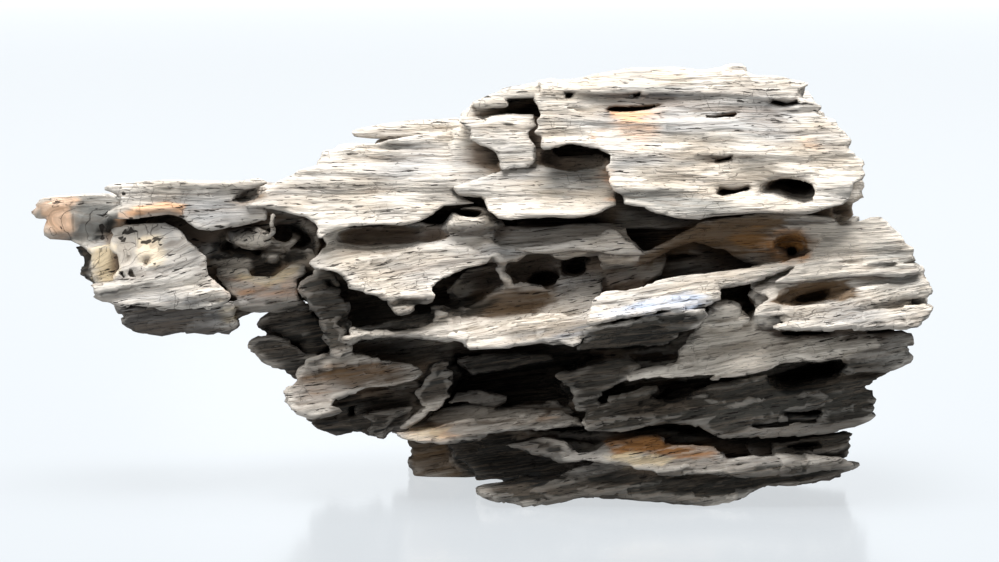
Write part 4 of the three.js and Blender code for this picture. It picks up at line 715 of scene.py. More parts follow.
# The front view: where a point is seen, in mm on the view's middle plane
AXIS = (math.cos(VIEW_TILT), -math.sin(VIEW_TILT))
UP = (math.sin(VIEW_TILT), math.cos(VIEW_TILT))
TARGET_Z = (FLOOR_AT_MIDDLE_PX - FRAME_CENTRE_PX[1]) * MM_PER_PX / math.cos(VIEW_TILT)
EYE = (0.0, -VIEW_DISTANCE * AXIS[0], TARGET_Z - VIEW_DISTANCE * AXIS[1])


def seen_at(x, y, z):
    dy, dz = y - EYE[1], z - EYE[2]
    scale = VIEW_DISTANCE / (dy * AXIS[0] + dz * AXIS[1])
    return (x - EYE[0]) * scale, -(dy * UP[0] + dz * UP[1]) * scale


def height_at(v, y):
    reach = (y - EYE[1]) / (VIEW_DISTANCE * AXIS[0] - v * UP[0])
    return EYE[2] + reach * (VIEW_DISTANCE * AXIS[1] - v * UP[1])


def to_view(p):
    return (p[0] - FRAME_CENTRE_PX[0]) * MM_PER_PX, (p[1] - FRAME_CENTRE_PX[1]) * MM_PER_PX


# Distances
def smooth_min(a, b, k):
    h = np.maximum(k - np.abs(a - b), 0) / k
    return np.minimum(a, b) - h * h * k * 0.25


class Outline:
    """A closed outline's signed distance, tabled once and then looked up."""

    PITCH = 0.6  # mm between the table's places

    def __init__(self, px, margin):
        self.points = np.array([to_view(p) for p in px], np.float32)
        self.low = self.points.min(0) - margin
        counts = np.ceil((self.points.max(0) + margin - self.low) / self.PITCH).astype(int) + 2
        axes = [self.low[k] + np.arange(counts[k], dtype=np.float32) * self.PITCH for k in (0, 1)]
        u, v = np.meshgrid(*axes, indexing="ij")
        nearest = np.full(u.shape, np.inf, np.float32)
        inside = np.zeros(u.shape, bool)
        area = around = 0.0
        for a, b in zip(self.points, np.roll(self.points, 1, 0)):
            eu, ev = b - a
            wu, wv = u - a[0], v - a[1]
            t = np.clip((wu * eu + wv * ev) / (eu * eu + ev * ev), 0, 1)
            nearest = np.minimum(nearest, (wu - eu * t) ** 2 + (wv - ev * t) ** 2)
            if ev != 0:
                inside ^= ((a[1] > v) != (b[1] > v)) & (u < eu * wv / ev + a[0])
            area += (a[0] * b[1] - b[0] * a[1]) / 2
            around += math.hypot(eu, ev)
        self.table = (np.where(inside, -1, 1) * np.sqrt(nearest)).astype(np.float32)
        self.slimness = abs(area) / around

    def __call__(self, u, v):
        a = np.clip((u - self.low[0]) / self.PITCH, 0, self.table.shape[0] - 1.001)
        b = np.clip((v - self.low[1]) / self.PITCH, 0, self.table.shape[1] - 1.001)
        i, j = a.astype(np.int32), b.astype(np.int32)
        fa, fb = a - i, b - j
        t = self.table
        return ((t[i, j] * (1 - fa) + t[i + 1, j] * fa) * (1 - fb)
                + (t[i, j + 1] * (1 - fa) + t[i + 1, j + 1] * fa) * fb)


def slab_distance(form, u, v, depth):
    y = depth * form["facing"]
    outline, lean, undercut = form["outline"], form["lean"], form["undercut"]
    top, bottom = outline.points[:, 1].min(), outline.points[:, 1].max()
    rise = bottom - v if lean >= 0 else v - top
    face = form["near"] + abs(lean) * rise
    behind = np.maximum(y - face, 0)
    if form["cut"]:
        shrunk = behind * undercut
    else:
        bite = min(max(BITE * outline.slimness, BITE_RANGE[0]), BITE_RANGE[1])
        shrunk = bite * (1 - np.exp(-behind * undercut / bite))
    across = outline(u - form["drift"][0] * behind, v - form["drift"][1] * behind)
    side = (across + shrunk) / math.hypot(1, undercut) + form["round"]
    deep = np.maximum((face - y) / math.hypot(1, lean), y - form["far"]) + form["round"]
    return (np.minimum(np.maximum(side, deep), 0) + np.hypot(np.maximum(side, 0), np.maximum(deep, 0))
            - form["round"])


def strand_distance(form, u, v, y):
    nearest = np.full(np.broadcast(u, v, y).shape, np.inf, np.float32)
    for (au, av, ay), (bu, bv, by) in zip(form["path"], form["path"][1:]):
        eu, ev, ey = bu - au, bv - av, by - ay
        along = (u - au) * eu + (v - av) * ev + (y - ay) * ey
        t = np.clip(along / (eu * eu + ev * ev + ey * ey), 0, 1)
        gap = (u - au - eu * t) ** 2 + (v - av - ev * t) ** 2 + (y - ay - ey * t) ** 2
        nearest = np.minimum(nearest, gap)
    return np.sqrt(nearest) - form["radius"]


def boulder_distance(form, u, v, y):
    (cu, cv, cy), half = form["centre"], form["half"]
    c, s = math.cos(math.radians(form["turn"])), math.sin(math.radians(form["turn"]))
    a = ((u - cu) * c - (v - cv) * s) / half[0]
    b = ((u - cu) * s + (v - cv) * c) / half[1]
    d = (y - cy) / half[2]
    reach = np.sqrt(a * a + b * b + d * d)
    slope = np.sqrt((a / half[0]) ** 2 + (b / half[1]) ** 2 + (d / half[2]) ** 2) + 1e-6
    return reach * (reach - 1) / slope


DISTANCE = {"slab": slab_distance, "strand": strand_distance, "boulder": boulder_distance}


def prepare(form):
    """Puts a form's pixels into mm, and gives the box of the view that it can change."""
    form = dict(form)
    if form["kind"] == "slab":
        form["outline"] = Outline(form["px"], REACH + 2)
        depths = sorted((form["near"] * form["facing"], form["far"] * form["facing"]))
        moved = np.array(form["drift"]) * (form["far"] - form["near"])
        points = np.concatenate([form["outline"].points, form["outline"].points + moved])
        low, high = [*points.min(0), depths[0]], [*points.max(0), depths[1]]
    elif form["kind"] == "strand":
        form["path"] = [(*to_view(p), p[2]) for p in form["points"]]
        points = np.array(form["path"])
        low, high = points.min(0) - form["radius"], points.max(0) + form["radius"]
    else:
        form["centre"] = (*to_view(form["at"]), form["at"][2])
        a, b, c = form["half"]
        wide = np.array([a, b + a * abs(math.sin(math.radians(form["turn"]))), c])
        low, high = form["centre"] - wide, form["centre"] + wide
    return form, np.array(low) - REACH, np.array(high) + REACH


# Room around a form for what the weathering shifts, in mm
ROOM_ALONG, ROOM_DEEP, ROOM_UP = 5, 6, 4
ROOM_FOR_TILT = 30  # extra depth, because the view looks down a little


def grid_slices(low, high, counts):
    """The part of the grid that holds a box of the view."""
    near, far = low[2] - ROOM_DEEP, high[2] + ROOM_DEEP
    grow = [1 + (near - ROOM_FOR_TILT) / VIEW_DISTANCE, 1 + (far + ROOM_FOR_TILT) / VIEW_DISTANCE]
    xs = [low[0] * g for g in grow] + [high[0] * g for g in grow]
    zs = [height_at(v, y) for v in (low[1], high[1]) for y in (near, far)]
    box = (
        (min(xs) - ROOM_ALONG, max(xs) + ROOM_ALONG),
        (near, far),
        (min(zs) - ROOM_UP, max(zs) + ROOM_UP),
    )
    cells = [[int((end - FIELD_LOW[k]) / CELL) for end in ends] for k, ends in enumerate(box)]
    return tuple(slice(max(0, a), min(most, b + 2)) for (a, b), most in zip(cells, counts))


# The weathering that bends every form. Each row has how far it shifts a point, in mm, the noise's
# periods along, across and up the wood, in mm, and a shift that keeps the rows apart.
WANDER_ALONG = ((1.2, 16, 16, 9, 0), (2.6, 26, 14, 3.2, 11))
WANDER_UP = ((1.2, 20, 12, 10, 40), (0.6, 9, 9, 6, 51))
WANDER_DEEP = ((2.4, 26, 20, 12, 70), (2.0, 60, 40, 5.0, 23), (1.0, 28, 30, 2.8, 37))
RELIEF_CALM_ABOVE = 125.0  # mm above the floor, where the torn layers are half as high
RELIEF_FULL_BELOW = 95.0  # mm above the floor, where they are full
RELIEF_BEND, RELIEF_LAYERS, RELIEF_SCALES = (30, 18, 12), (44, 12, 6.5), (13, 7, 4.0)
RELIEF_STRANDS, RELIEF_FIBRES = (34, 4.2, 2.6), (20, 2.4, 1.6)
# Heights in mm, above and by how much more in the lower half
LAYER_RELIEF, SCALE_RELIEF, STRAND_RELIEF = (0.4, 0.7), (0.35, 0.25), (0.14, 0.26)
GRAIN_SLOPE = 0.16  # the grain's rise to the right in the lower half
GRAIN_FLAT_ABOVE = 150.0  # mm above the floor, over which the grain is level
GRAIN_STEEP_BELOW = 105.0


def axis_weights(values, period, shift):
    """How much of each lattice point goes into each value of one axis."""
    t = values.ravel() / period + shift
    cell = np.floor(t).astype(int)
    f = t - cell
    f = f * f * (3 - 2 * f)
    weights = np.zeros((len(t), cell.max() - cell.min() + 2), np.float32)
    rows = np.arange(len(t))
    weights[rows, cell - cell.min()] = 1 - f
    weights[rows, cell - cell.min() + 1] = f
    return weights, np.arange(cell.min(), cell.max() + 2)


def grid_noise(axes, periods, shift):
    """noise() over a whole grid, one axis at a time."""
    weights, cells = zip(*(
        axis_weights(values, period, shift + 7 * k)
        for k, (values, period) in enumerate(zip(axes, periods))
    ))
    values = lattice(*np.meshgrid(*cells, indexing="ij")).astype(np.float32)
    for weight in weights:
        values = np.moveaxis(np.tensordot(weight, values, (1, 0)), 0, -1)
    return values


def wander(axes, rows):
    """A sum of noises that follow the grain: level above, rising to the right below."""
    steep = blend(GRAIN_FLAT_ABOVE, GRAIN_STEEP_BELOW, axes[2]).astype(np.float32)
    shifts = np.round(-GRAIN_SLOPE * axes[0] / CELL).astype(int)
    spare = np.abs(shifts).max()
    tall = FIELD_LOW[2] + CELL * np.arange(-spare, len(axes[2]) + spare)
    total = np.float32(0)
    for size, along, across, up, shift in rows:
        values = grid_noise((axes[0], axes[1], tall), (along, across, up), shift)
        level = values[:, :, spare:len(tall) - spare]
        rising = np.stack([
            row[:, spare + s:len(tall) - spare + s] for row, s in zip(values, shifts)
        ])
        total = total + size * (level * (1 - steep) + rising * steep)
    return total


def fill(forms):
    """The distance field of all the forms, on its grid."""
    counts = [math.ceil((FIELD_HIGH[k] - FIELD_LOW[k]) / CELL) + 1 for k in range(3)]
    axes = [(FIELD_LOW[k] + np.arange(counts[k]) * CELL).astype(np.float32) for k in range(3)]
    x, y, z = np.meshgrid(*axes, indexing="ij", sparse=True)
    u, v = seen_at(x, y, z)
    u = u + wander(axes, WANDER_ALONG)
    v = v + wander(axes, WANDER_UP)
    depth = y + wander(axes, WANDER_DEEP)
    field = np.full(counts, OUTSIDE, np.float32)
    for form in forms:
        made, low, high = prepare(form)
        part = grid_slices(low, high, counts)
        if 0 in field[part].shape:
            continue
        d = DISTANCE[made["kind"]](made, u[part], v[part], depth[part])
        if made["cut"]:
            field[part] = -smooth_min(-field[part], d, RIM)
        else:
            field[part] = smooth_min(field[part], d, FILLET)
    return np.maximum(field, -z)


def sample(grid, points):
    """The grid's values at points in the field's mm, between its nodes."""
    t = (points - FIELD_LOW) / CELL
    cell = np.clip(np.floor(t).astype(int), 0, np.array(grid.shape) - 2)
    f = np.clip(t - cell, 0, 1).astype(np.float32)
    total = np.zeros(len(points), np.float32)
    for corner in range(8):
        bits = np.array([corner & 1, (corner >> 1) & 1, corner >> 2])
        weight = np.where(bits, f, 1 - f).prod(axis=1)
        total += weight * grid[tuple((cell + bits).T)]
    return total


def box_blur(grid, radius):
    """The mean over a box, in mm to each side."""
    reach = max(1, round(radius / CELL))
    for axis in range(3):
        padded = np.pad(grid, [(reach + 1, reach) if k == axis else (0, 0) for k in range(3)], "edge")
        summed = np.cumsum(padded, axis=axis, dtype=np.float32)
        ends = [np.take(summed, range(start, start + grid.shape[axis]), axis=axis)
                for start in (2 * reach + 1, 0)]
        grid = (ends[0] - ends[1]) / (2 * reach + 1)
    return grid


def sky_above(air):
    """How much of what lies above each place is air, counted less the higher it is."""
    keep = math.exp(-CELL / SKY_REACH)
    seen = np.ones_like(air)
    for k in range(air.shape[2] - 2, -1, -1):
        seen[:, :, k] = keep * seen[:, :, k + 1] + (1 - keep) * air[:, :, k + 1]
    return seen


def grain_height(points):
    """Heights that follow the grain."""
    steep = blend(GRAIN_FLAT_ABOVE, GRAIN_STEEP_BELOW, points[:, 2])
    return points[:, 2] - GRAIN_SLOPE * steep * points[:, 0]


def grain_noise(points, periods, shift=0):
    """noise() with its periods in mm along, across and up the grain."""
    x, y, up = points[:, 0], points[:, 1], grain_height(points)
    return noise(x / periods[0] + shift, y / periods[1], up / periods[2])


def ridges(values):
    """Sharp ridges where a noise crosses zero."""
    return 1 - 2 * np.abs(values)


def torn(values):
    """Rises slowly and drops at once, like the edges of torn layers."""
    return values - np.floor(values)


def fine_relief(points):
    """Relief that is too fine for the grid, in mm: torn layers, smaller scales and strands."""
    bend = grain_noise(points, RELIEF_BEND)
    layers = torn(1.7 * grain_noise(points, RELIEF_LAYERS, 3) + 0.8 * bend)
    scales = torn(1.5 * grain_noise(points, RELIEF_SCALES, 5) + 0.5 * bend)
    strands = ridges(grain_noise(points, RELIEF_STRANDS))
    strands = strands + 0.5 * ridges(grain_noise(points, RELIEF_FIBRES, 9))
    rough = blend(RELIEF_CALM_ABOVE, RELIEF_FULL_BELOW, points[:, 2])
    parts = ((layers - 0.5, LAYER_RELIEF), (scales - 0.5, SCALE_RELIEF), (strands, STRAND_RELIEF))
    return sum((calm + more * rough) * pattern for pattern, (calm, more) in parts)


def new_mesh(name, points, faces):
    mesh = bpy.data.meshes.new(name)
    sides = faces.shape[1]
    mesh.vertices.add(len(points))
    mesh.vertices.foreach_set("co", (points / 1000).astype(np.float32).ravel())
    mesh.loops.add(faces.size)
    mesh.loops.foreach_set("vertex_index", faces.astype(np.int32).ravel())
    mesh.polygons.add(len(faces))
    mesh.polygons.foreach_set("loop_start", np.arange(0, faces.size, sides, dtype=np.int32))
    mesh.update(calc_edges=True)
    mesh.validate()
    return mesh


def largest_body(points, faces):
    """Only the largest connected part of a mesh: loose crumbs and sealed bubbles go."""
    edges = np.concatenate([faces[:, [k, (k + 1) % faces.shape[1]]] for k in range(faces.shape[1])])
    label = np.arange(len(points))
    while True:
        least = np.minimum(label[edges[:, 0]], label[edges[:, 1]])
        new = label.copy()
        np.minimum.at(new, edges[:, 0], least)
        np.minimum.at(new, edges[:, 1], least)
        new = new[new]
        if (new == label).all():
            break
        label = new
    names, sizes = np.unique(label, return_counts=True)
    kept = label == names[sizes.argmax()]
    number = np.cumsum(kept) - 1
    return points[kept], number[faces[kept[faces[:, 0]]]]


def thin(mesh, most):
    """The mesh with its flattest parts in fewer, larger triangles."""
    obj = bpy.data.objects.new("thinning", mesh)
    bpy.context.scene.collection.objects.link(obj)
    triangles = (len(mesh.polygons[0].vertices) - 2) * len(mesh.polygons)
    modifier = obj.modifiers.new("thin", "DECIMATE")
    modifier.ratio = min(1.0, most / triangles)
    modifier.use_collapse_triangulate = True
    evaluated = obj.evaluated_get(bpy.context.evaluated_depsgraph_get())
    thinned = bpy.data.meshes.new_from_object(evaluated)
    bpy.data.objects.remove(obj)
    bpy.data.meshes.remove(mesh)
    return thinned


def coordinates(mesh):
    points = np.empty(len(mesh.vertices) * 3, np.float32)
    mesh.vertices.foreach_get("co", points)
    return points.reshape(-1, 3)


def normals(mesh):
    directions = np.empty(len(mesh.vertices) * 3, np.float32)
    mesh.vertex_normals.foreach_get("vector", directions)
    return directions.reshape(-1, 3)


def add_attribute(mesh, name, values):
    mesh.attributes.new(name, "FLOAT", "POINT").data.foreach_set("value", values.astype(np.float32))


# Stains, painted shade and painted light by kind, drawn in the front view's pixels: strength, softness of
# the edge in mm, outline
STAIN_AND_LIGHT_MARKS = {
    # dusk: painted shade over the dim lower shelves, the bottom sheet, the claws, the web, the troughs and
    # under the blade
    "dusk_shade": [
        (0.9, 4, [
            [596, 392], [700, 372], [770, 368], [850, 360], [898, 368], [880, 386], [876, 416],
            [852, 430], [850, 450], [800, 458], [720, 440], [660, 432], [590, 434], [580, 414],
        ]),
        (0.9, 3, [
            [478, 491], [500, 482], [560, 475], [760, 470], [858, 461], [850, 470], [800, 484],
            [748, 492], [700, 506], [500, 505],
        ]),
        (0.8, 3, [
            [552, 372], [600, 356], [642, 360], [624, 384], [602, 402], [590, 414], [572, 414],
            [574, 396], [560, 386],
        ]),
        (0.75, 3, [
            [346, 322], [350, 300], [390, 294], [440, 300], [500, 298], [480, 316], [440, 326],
            [350, 336],
        ]),
        (0.8, 4, [[298, 296], [312, 266], [346, 284], [354, 330], [346, 352], [322, 356], [318, 322]]),
        (0.5, 3, [[500, 326], [592, 320], [586, 346], [540, 349], [508, 346]]),
        (0.7, 3, [[214, 300], [312, 298], [318, 312], [240, 314]]),
        (0.6, 4, [[340, 346], [420, 342], [446, 350], [430, 364], [410, 366], [372, 358]]),
        (1.0, 1.5, [
            [590, 334], [640, 320], [700, 310], [714, 306], [710, 316], [698, 326], [664, 345],
            [620, 349], [580, 351],
        ]),
        (0.95, 3, [[300, 270], [346, 274], [352, 330], [342, 350], [318, 352], [302, 312]]),
    ],
    # umber: brown wood with painted shade, over the arch, the trough under the lobe and the lens-shaped
    # recesses
    "umber_and_shade": [
        (0.85, 4, [
            [636, 266], [660, 236], [700, 220], [760, 212], [802, 212], [780, 228], [744, 258],
            [700, 248], [664, 264],
        ]),
        (0.7, 4, [[500, 290], [556, 284], [562, 306], [520, 316], [470, 320], [460, 304], [480, 290]]),
        (0.6, 4, [[320, 362], [380, 362], [420, 370], [400, 386], [350, 386], [322, 380]]),
        (0.7, 3, [[416, 430], [444, 408], [560, 404], [572, 414], [500, 424], [440, 430]]),
        (0.35, 5, [[286, 384], [304, 362], [400, 366], [420, 374], [344, 396], [332, 418], [296, 412]]),
        (0.6, 3, [[250, 200], [268, 182], [272, 184], [262, 200], [246, 206], [228, 203]]),
        (0.6, 3, [[408, 444], [448, 442], [455, 462], [474, 477], [412, 475]]),
        (1.0, 1.5, [
            [772, 304], [780, 292], [800, 284], [822, 281], [846, 282], [854, 290], [846, 298],
            [820, 303], [796, 306], [780, 307],
        ]),
        (0.8, 2, [[620, 416], [640, 404], [664, 402], [700, 400], [712, 406], [690, 412], [650, 418]]),
    ],
    "orange": [
        (1.0, 1.5, [
            [31, 213], [34, 205], [45, 199], [62, 195], [82, 195], [76, 205], [72, 212], [76, 220],
            [77, 230], [66, 241], [50, 241], [41, 230], [47, 219],
        ]),
        (0.95, 1.2, [
            [112, 222], [115, 215], [125, 210], [140, 207], [158, 204], [175, 202], [183, 207],
            [180, 218], [150, 218], [135, 222], [118, 224],
        ]),
        (0.4, 5, [
            [604, 106], [643, 100], [668, 106], [664, 128], [650, 146], [640, 152], [624, 140],
            [606, 120],
        ]),
        (1.2, 1.4, [[612, 112], [643, 110], [650, 118], [630, 123], [614, 121]]),
        (0.55, 2.5, [[586, 133], [598, 131], [603, 143], [590, 147]]),
        (0.5, 2, [[606, 164], [614, 178], [613, 190], [619, 202], [611, 202], [604, 182]]),
        (0.4, 3.5, [[796, 138], [812, 133], [826, 142], [820, 152], [802, 151]]),
        (0.4, 4, [[210, 272], [247, 268], [270, 277], [303, 264], [300, 296], [270, 292], [214, 284]]),
        (0.6, 2, [[396, 431], [420, 424], [452, 423], [458, 431], [448, 441], [430, 444], [405, 440]]),
        (0.35, 3, [[452, 424], [500, 418], [560, 411], [566, 420], [500, 428], [458, 434]]),
        (0.3, 2, [[628, 436], [654, 433], [664, 444], [640, 452], [622, 448]]),
        (0.55, 2.5, [[138, 239], [150, 235], [158, 244], [158, 258], [150, 266], [141, 260]]),
        (0.3, 4, [[212, 272], [247, 268], [270, 277], [303, 264], [302, 280], [260, 288], [216, 284]]),
    ],
    "honey": [
        (0.9, 4, [[762, 240], [780, 226], [806, 230], [818, 243], [808, 260], [786, 264], [768, 256]]),
        (0.5, 4, [[214, 286], [250, 284], [302, 286], [308, 298], [250, 300], [228, 298]]),
        (0.85, 3, [
            [604, 440], [625, 432], [656, 431], [668, 441], [700, 442], [717, 446], [726, 456],
            [700, 459], [660, 456], [614, 458],
        ]),
        (0.35, 4, [[318, 360], [380, 364], [396, 376], [350, 384], [320, 378]]),
        (0.3, 5, [[440, 316], [500, 296], [552, 290], [556, 302], [520, 312], [450, 326]]),
        (0.45, 5, [[700, 232], [770, 222], [790, 236], [770, 256], [730, 242]]),
        (0.4, 4, [[620, 402], [660, 386], [700, 392], [700, 410], [640, 418]]),
    ],
    "cream": [
        (0.7, 2, [[398, 432], [420, 426], [450, 425], [452, 432], [440, 440], [408, 440]]),
        (0.95, 1.6, [
            [84, 248], [95, 244], [108, 243], [114, 248], [117, 262], [119, 270], [116, 278],
            [108, 284], [90, 282], [91, 262],
        ]),
        (0.6, 2.5, [[134, 232], [160, 236], [166, 256], [158, 270], [136, 264]]),
        (0.75, 2, [[222, 301], [240, 307], [238, 324], [224, 321]]),
        (0.85, 2, [[602, 456], [640, 451], [672, 457], [664, 469], [620, 467]]),
        (0.5, 3, [[336, 232], [420, 228], [412, 240], [344, 246]]),
        (0.4, 4, [[240, 236], [275, 232], [276, 246], [240, 252]]),
        (0.8, 2, [[228, 266], [250, 268], [262, 276], [300, 264], [298, 274], [266, 286], [236, 280]]),
    ],
    "slate": [
        (0.95, 2, [
            [82, 195], [100, 189], [118, 196], [118, 214], [110, 226], [98, 242], [80, 246], [68, 242],
            [77, 230], [76, 220], [72, 212], [76, 205],
        ]),
        (0.75, 4, [
            [619, 188], [660, 186], [715, 196], [748, 208], [720, 220], [680, 223], [650, 216],
            [620, 208],
        ]),
        (0.4, 5, [[545, 88], [620, 82], [704, 80], [700, 102], [640, 102], [560, 106]]),
        (0.65, 4, [[544, 172], [590, 166], [606, 188], [562, 198], [540, 188]]),
        (0.35, 8, [[290, 196], [380, 166], [436, 190], [384, 216], [310, 216]]),
        (0.3, 8, [[700, 112], [764, 112], [792, 150], [740, 182], [700, 150]]),
        (0.6, 6, [[866, 222], [915, 248], [931, 292], [880, 298], [862, 262]]),
        (0.55, 5, [[850, 326], [917, 331], [908, 366], [840, 374], [790, 362]]),
        (0.6, 8, [[720, 388], [870, 384], [876, 416], [760, 436], [690, 422]]),
        (0.5, 4, [[480, 487], [640, 476], [856, 462], [800, 482], [730, 502], [500, 502]]),
        (0.8, 2, [
            [574, 351], [586, 342], [580, 328], [620, 320], [680, 311], [716, 306], [706, 316],
            [698, 327], [664, 345], [620, 348],
        ]),
    ],
    "blue": [
        (0.7, 3, [[592, 318], [640, 300], [690, 292], [714, 300], [700, 309], [650, 315]]),
        (0.45, 4, [[560, 330], [600, 326], [590, 336], [560, 346], [500, 348], [500, 342]]),
    ],
    # charcoal: painted shade, near black, in the great cavity, the dens, the window, under the blade and
    # on the shadowed lobes
    "black_shade": [
        (1.1, 3, [[448, 442], [500, 434], [560, 446], [568, 470], [540, 487], [476, 480], [455, 462]]),
        (0.7, 5, [[245, 347], [256, 318], [290, 302], [322, 304], [332, 352], [322, 376], [280, 372]]),
        (0.85, 3, [[310, 420], [330, 408], [345, 396], [412, 396], [404, 424], [372, 437], [320, 432]]),
        (0.75, 5, [[430, 346], [500, 352], [612, 348], [580, 368], [572, 410], [500, 414], [436, 410]]),
        (0.95, 1.5, [[74, 246], [88, 250], [91, 262], [89, 284], [78, 280]]),
        (0.5, 3, [[558, 462], [600, 462], [654, 474], [620, 484], [560, 478]]),
        (1.0, 2, [[412, 392], [428, 364], [448, 356], [458, 384], [440, 408], [416, 404]]),
        (0.95, 2, [
            [208, 258], [212, 244], [222, 236], [228, 238], [226, 246], [240, 251], [262, 251],
            [276, 247], [284, 251], [300, 249], [314, 252], [304, 260], [284, 263], [272, 274],
            [256, 276], [246, 268], [226, 266],
        ]),
        (0.95, 2, [
            [274, 218], [300, 222], [316, 236], [314, 250], [302, 247], [299, 234], [288, 229],
            [276, 227],
        ]),
        (0.6, 2, [[640, 330], [700, 314], [704, 320], [664, 343], [620, 348], [600, 344]]),
        (0.35, 3, [
            [478, 489], [560, 476], [760, 470], [858, 461], [850, 472], [748, 492], [700, 506],
            [500, 505],
        ]),
        (1.1, 1.5, [
            [338, 400], [346, 394], [364, 394], [362, 404], [372, 418], [366, 428], [330, 430],
            [312, 424], [330, 414], [342, 412],
        ]),
        (1.2, 1.2, CLAW_LENS),
        (1.2, 1.2, [
            [768, 380], [790, 370], [820, 362], [842, 358], [848, 363], [838, 380], [816, 391],
            [790, 392], [774, 388],
        ]),
        (1.2, 1.0, [[781, 412], [800, 412], [822, 409], [820, 416], [800, 420], [786, 418]]),
        (0.8, 2, [[92, 240], [100, 222], [114, 214], [120, 222], [112, 232], [100, 244]]),
    ],
    "amber": [
        (0.8, 2, [
            [772, 242], [782, 232], [800, 231], [812, 240], [806, 250], [797, 252], [790, 245],
            [782, 252],
        ]),
        (0.28, 3, [
            [300, 378], [322, 366], [360, 360], [400, 362], [424, 368], [400, 380], [350, 388],
            [318, 400], [300, 396],
        ]),
        (0.55, 3, [[720, 232], [760, 228], [776, 240], [772, 256], [744, 250]]),
    ],
    # bleached: paler wood, partly a painted pool of light, most of all on the bright facet below the
    # shelves, which the lamps leave dim
    "bleached_and_lit": [
        (0.95, 2.5, [
            [718, 304], [742, 303], [748, 316], [763, 334], [797, 343], [879, 336], [879, 350],
            [797, 364], [760, 375], [710, 378], [622, 384], [626, 377], [676, 366], [682, 356],
            [672, 343], [700, 323],
        ]),
        (0.6, 2, [[626, 378], [676, 368], [740, 366], [779, 364], [760, 375], [710, 378], [622, 384]]),
        (0.35, 2, [[31, 213], [45, 199], [72, 195], [74, 212], [76, 232], [66, 241], [50, 241]]),
        (0.8, 1.2, [
            [228, 240], [240, 233], [262, 232], [272, 238], [268, 246], [250, 249], [236, 247],
        ]),
        (0.8, 1.0, [[282, 246], [291, 241], [297, 234], [299, 240], [293, 247], [285, 250]]),
        (0.6, 1.2, [[262, 255], [273, 250], [285, 254], [284, 262], [272, 263]]),
        (0.6, 1.0, [[266, 236], [269, 226], [275, 224], [274, 234], [268, 238]]),
        (0.6, 3, [[800, 226], [836, 218], [880, 216], [900, 238], [860, 252], [830, 258], [812, 262]]),
        (0.5, 3, [[764, 240], [800, 222], [826, 224], [800, 232], [780, 234], [770, 246]]),
        (0.7, 2.5, [[790, 268], [830, 260], [870, 262], [862, 272], [830, 278], [800, 280]]),
        (0.5, 3, [[31, 213], [45, 199], [82, 195], [76, 208], [60, 206], [44, 212]]),
        (0.9, 2, [[214, 262], [246, 261], [254, 271], [232, 279], [222, 276]]),
        (0.45, 5, [[120, 192], [180, 184], [250, 182], [240, 200], [180, 200], [130, 202]]),
        (0.4, 5, [[140, 230], [190, 236], [206, 268], [228, 290], [200, 300], [110, 292], [124, 262]]),
        (0.5, 3, [[196, 270], [214, 280], [222, 296], [206, 300], [180, 296]]),
        (0.5, 2, [[400, 412], [440, 398], [462, 402], [500, 408], [548, 410], [530, 424], [440, 424]]),
    ],
}
MARK_RAGGED = 2.2  # how far the edge of a stain or painted mark strays along the grain, in mm
MARK_EDGE, MARK_FINE_EDGE = (14, 7, 2.4), (5, 4, 1.4)  # the periods of its noises, in mm
FRONT_ONLY = (34.0, 60.0)  # depth in mm over which a stain or painted mark fades
FLAT_BELOW = 0.6  # mm above the floor, where the feet stay flat


def add_stain_and_light_marks(mesh, points):
    u, v = seen_at(*points.T)
    stray = grain_noise(points, MARK_EDGE) + 0.6 * grain_noise(points, MARK_FINE_EDGE, 8)
    stray = MARK_RAGGED * stray
    front = 1 - blend(*FRONT_ONLY, points[:, 1])
    for kind, marks in STAIN_AND_LIGHT_MARKS.items():
        total = np.zeros(len(points), np.float32)
        for strength, soft, px in marks:
            outline = Outline(px, 2 * soft + 2 * MARK_RAGGED)
            near = 1 - blend(-soft, soft, outline(u, v) + stray)
            total = np.maximum(total, strength * near)
        add_attribute(mesh, kind, total * front)


def make_wood():
    field = fill(FORMS)
    grid = openvdb.FloatGrid(OUTSIDE)
    grid.copyFromArray(field)
    points, faces = grid.convertToQuads(isovalue=0.0)
    points, faces = largest_body(points * CELL + np.array(FIELD_LOW), faces)
    mesh = new_mesh("relief", points, faces)
    lifted = points[:, 2] > FLAT_BELOW
    points = points + normals(mesh) * (fine_relief(points) * lifted)[:, None]
    points[:, 2] = np.maximum(points[:, 2], 0)
    bpy.data.meshes.remove(mesh)
    mesh = thin(new_mesh(NODE + "_weathered", points, faces), MOST_TRIANGLES)
    points = coordinates(mesh) * 1000
    # Measures of the air around each place: they drive the painted shade in hollows and under overhangs,
    # and the paler lit edges
    air = (field > 0).astype(np.float32)
    outward = points + SKIN * normals(mesh)
    add_attribute(mesh, "edge", sample(box_blur(air, EDGE_REACH), points))
    add_attribute(mesh, "open", sample(box_blur(air, OPEN_REACH), points))
    add_attribute(mesh, "sky", sample(sky_above(box_blur(air, EDGE_REACH)), outward))
    add_stain_and_light_marks(mesh, points)
    shift = Vector(np.mean(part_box(NODE), axis=0) - (points.min(0) + points.max(0)) / 2000)
    shift.z = 0
    mesh.transform(Matrix.Translation(shift))
    mesh.shade_smooth()
    wood = bpy.data.objects.new(NODE + "_weathered", mesh)
    bpy.context.scene.collection.objects.link(wood)
    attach(wood, "root")
    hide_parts(NODE)
    return wood, shift


# Materials
def srgb(red, green, blue):
    """A colour given as screen values from 0 to 255, made linear, with full opacity."""
    shares = (c / 255 for c in (red, green, blue))
    return (*(((c + 0.055) / 1.055) ** 2.4 for c in shares), 1)


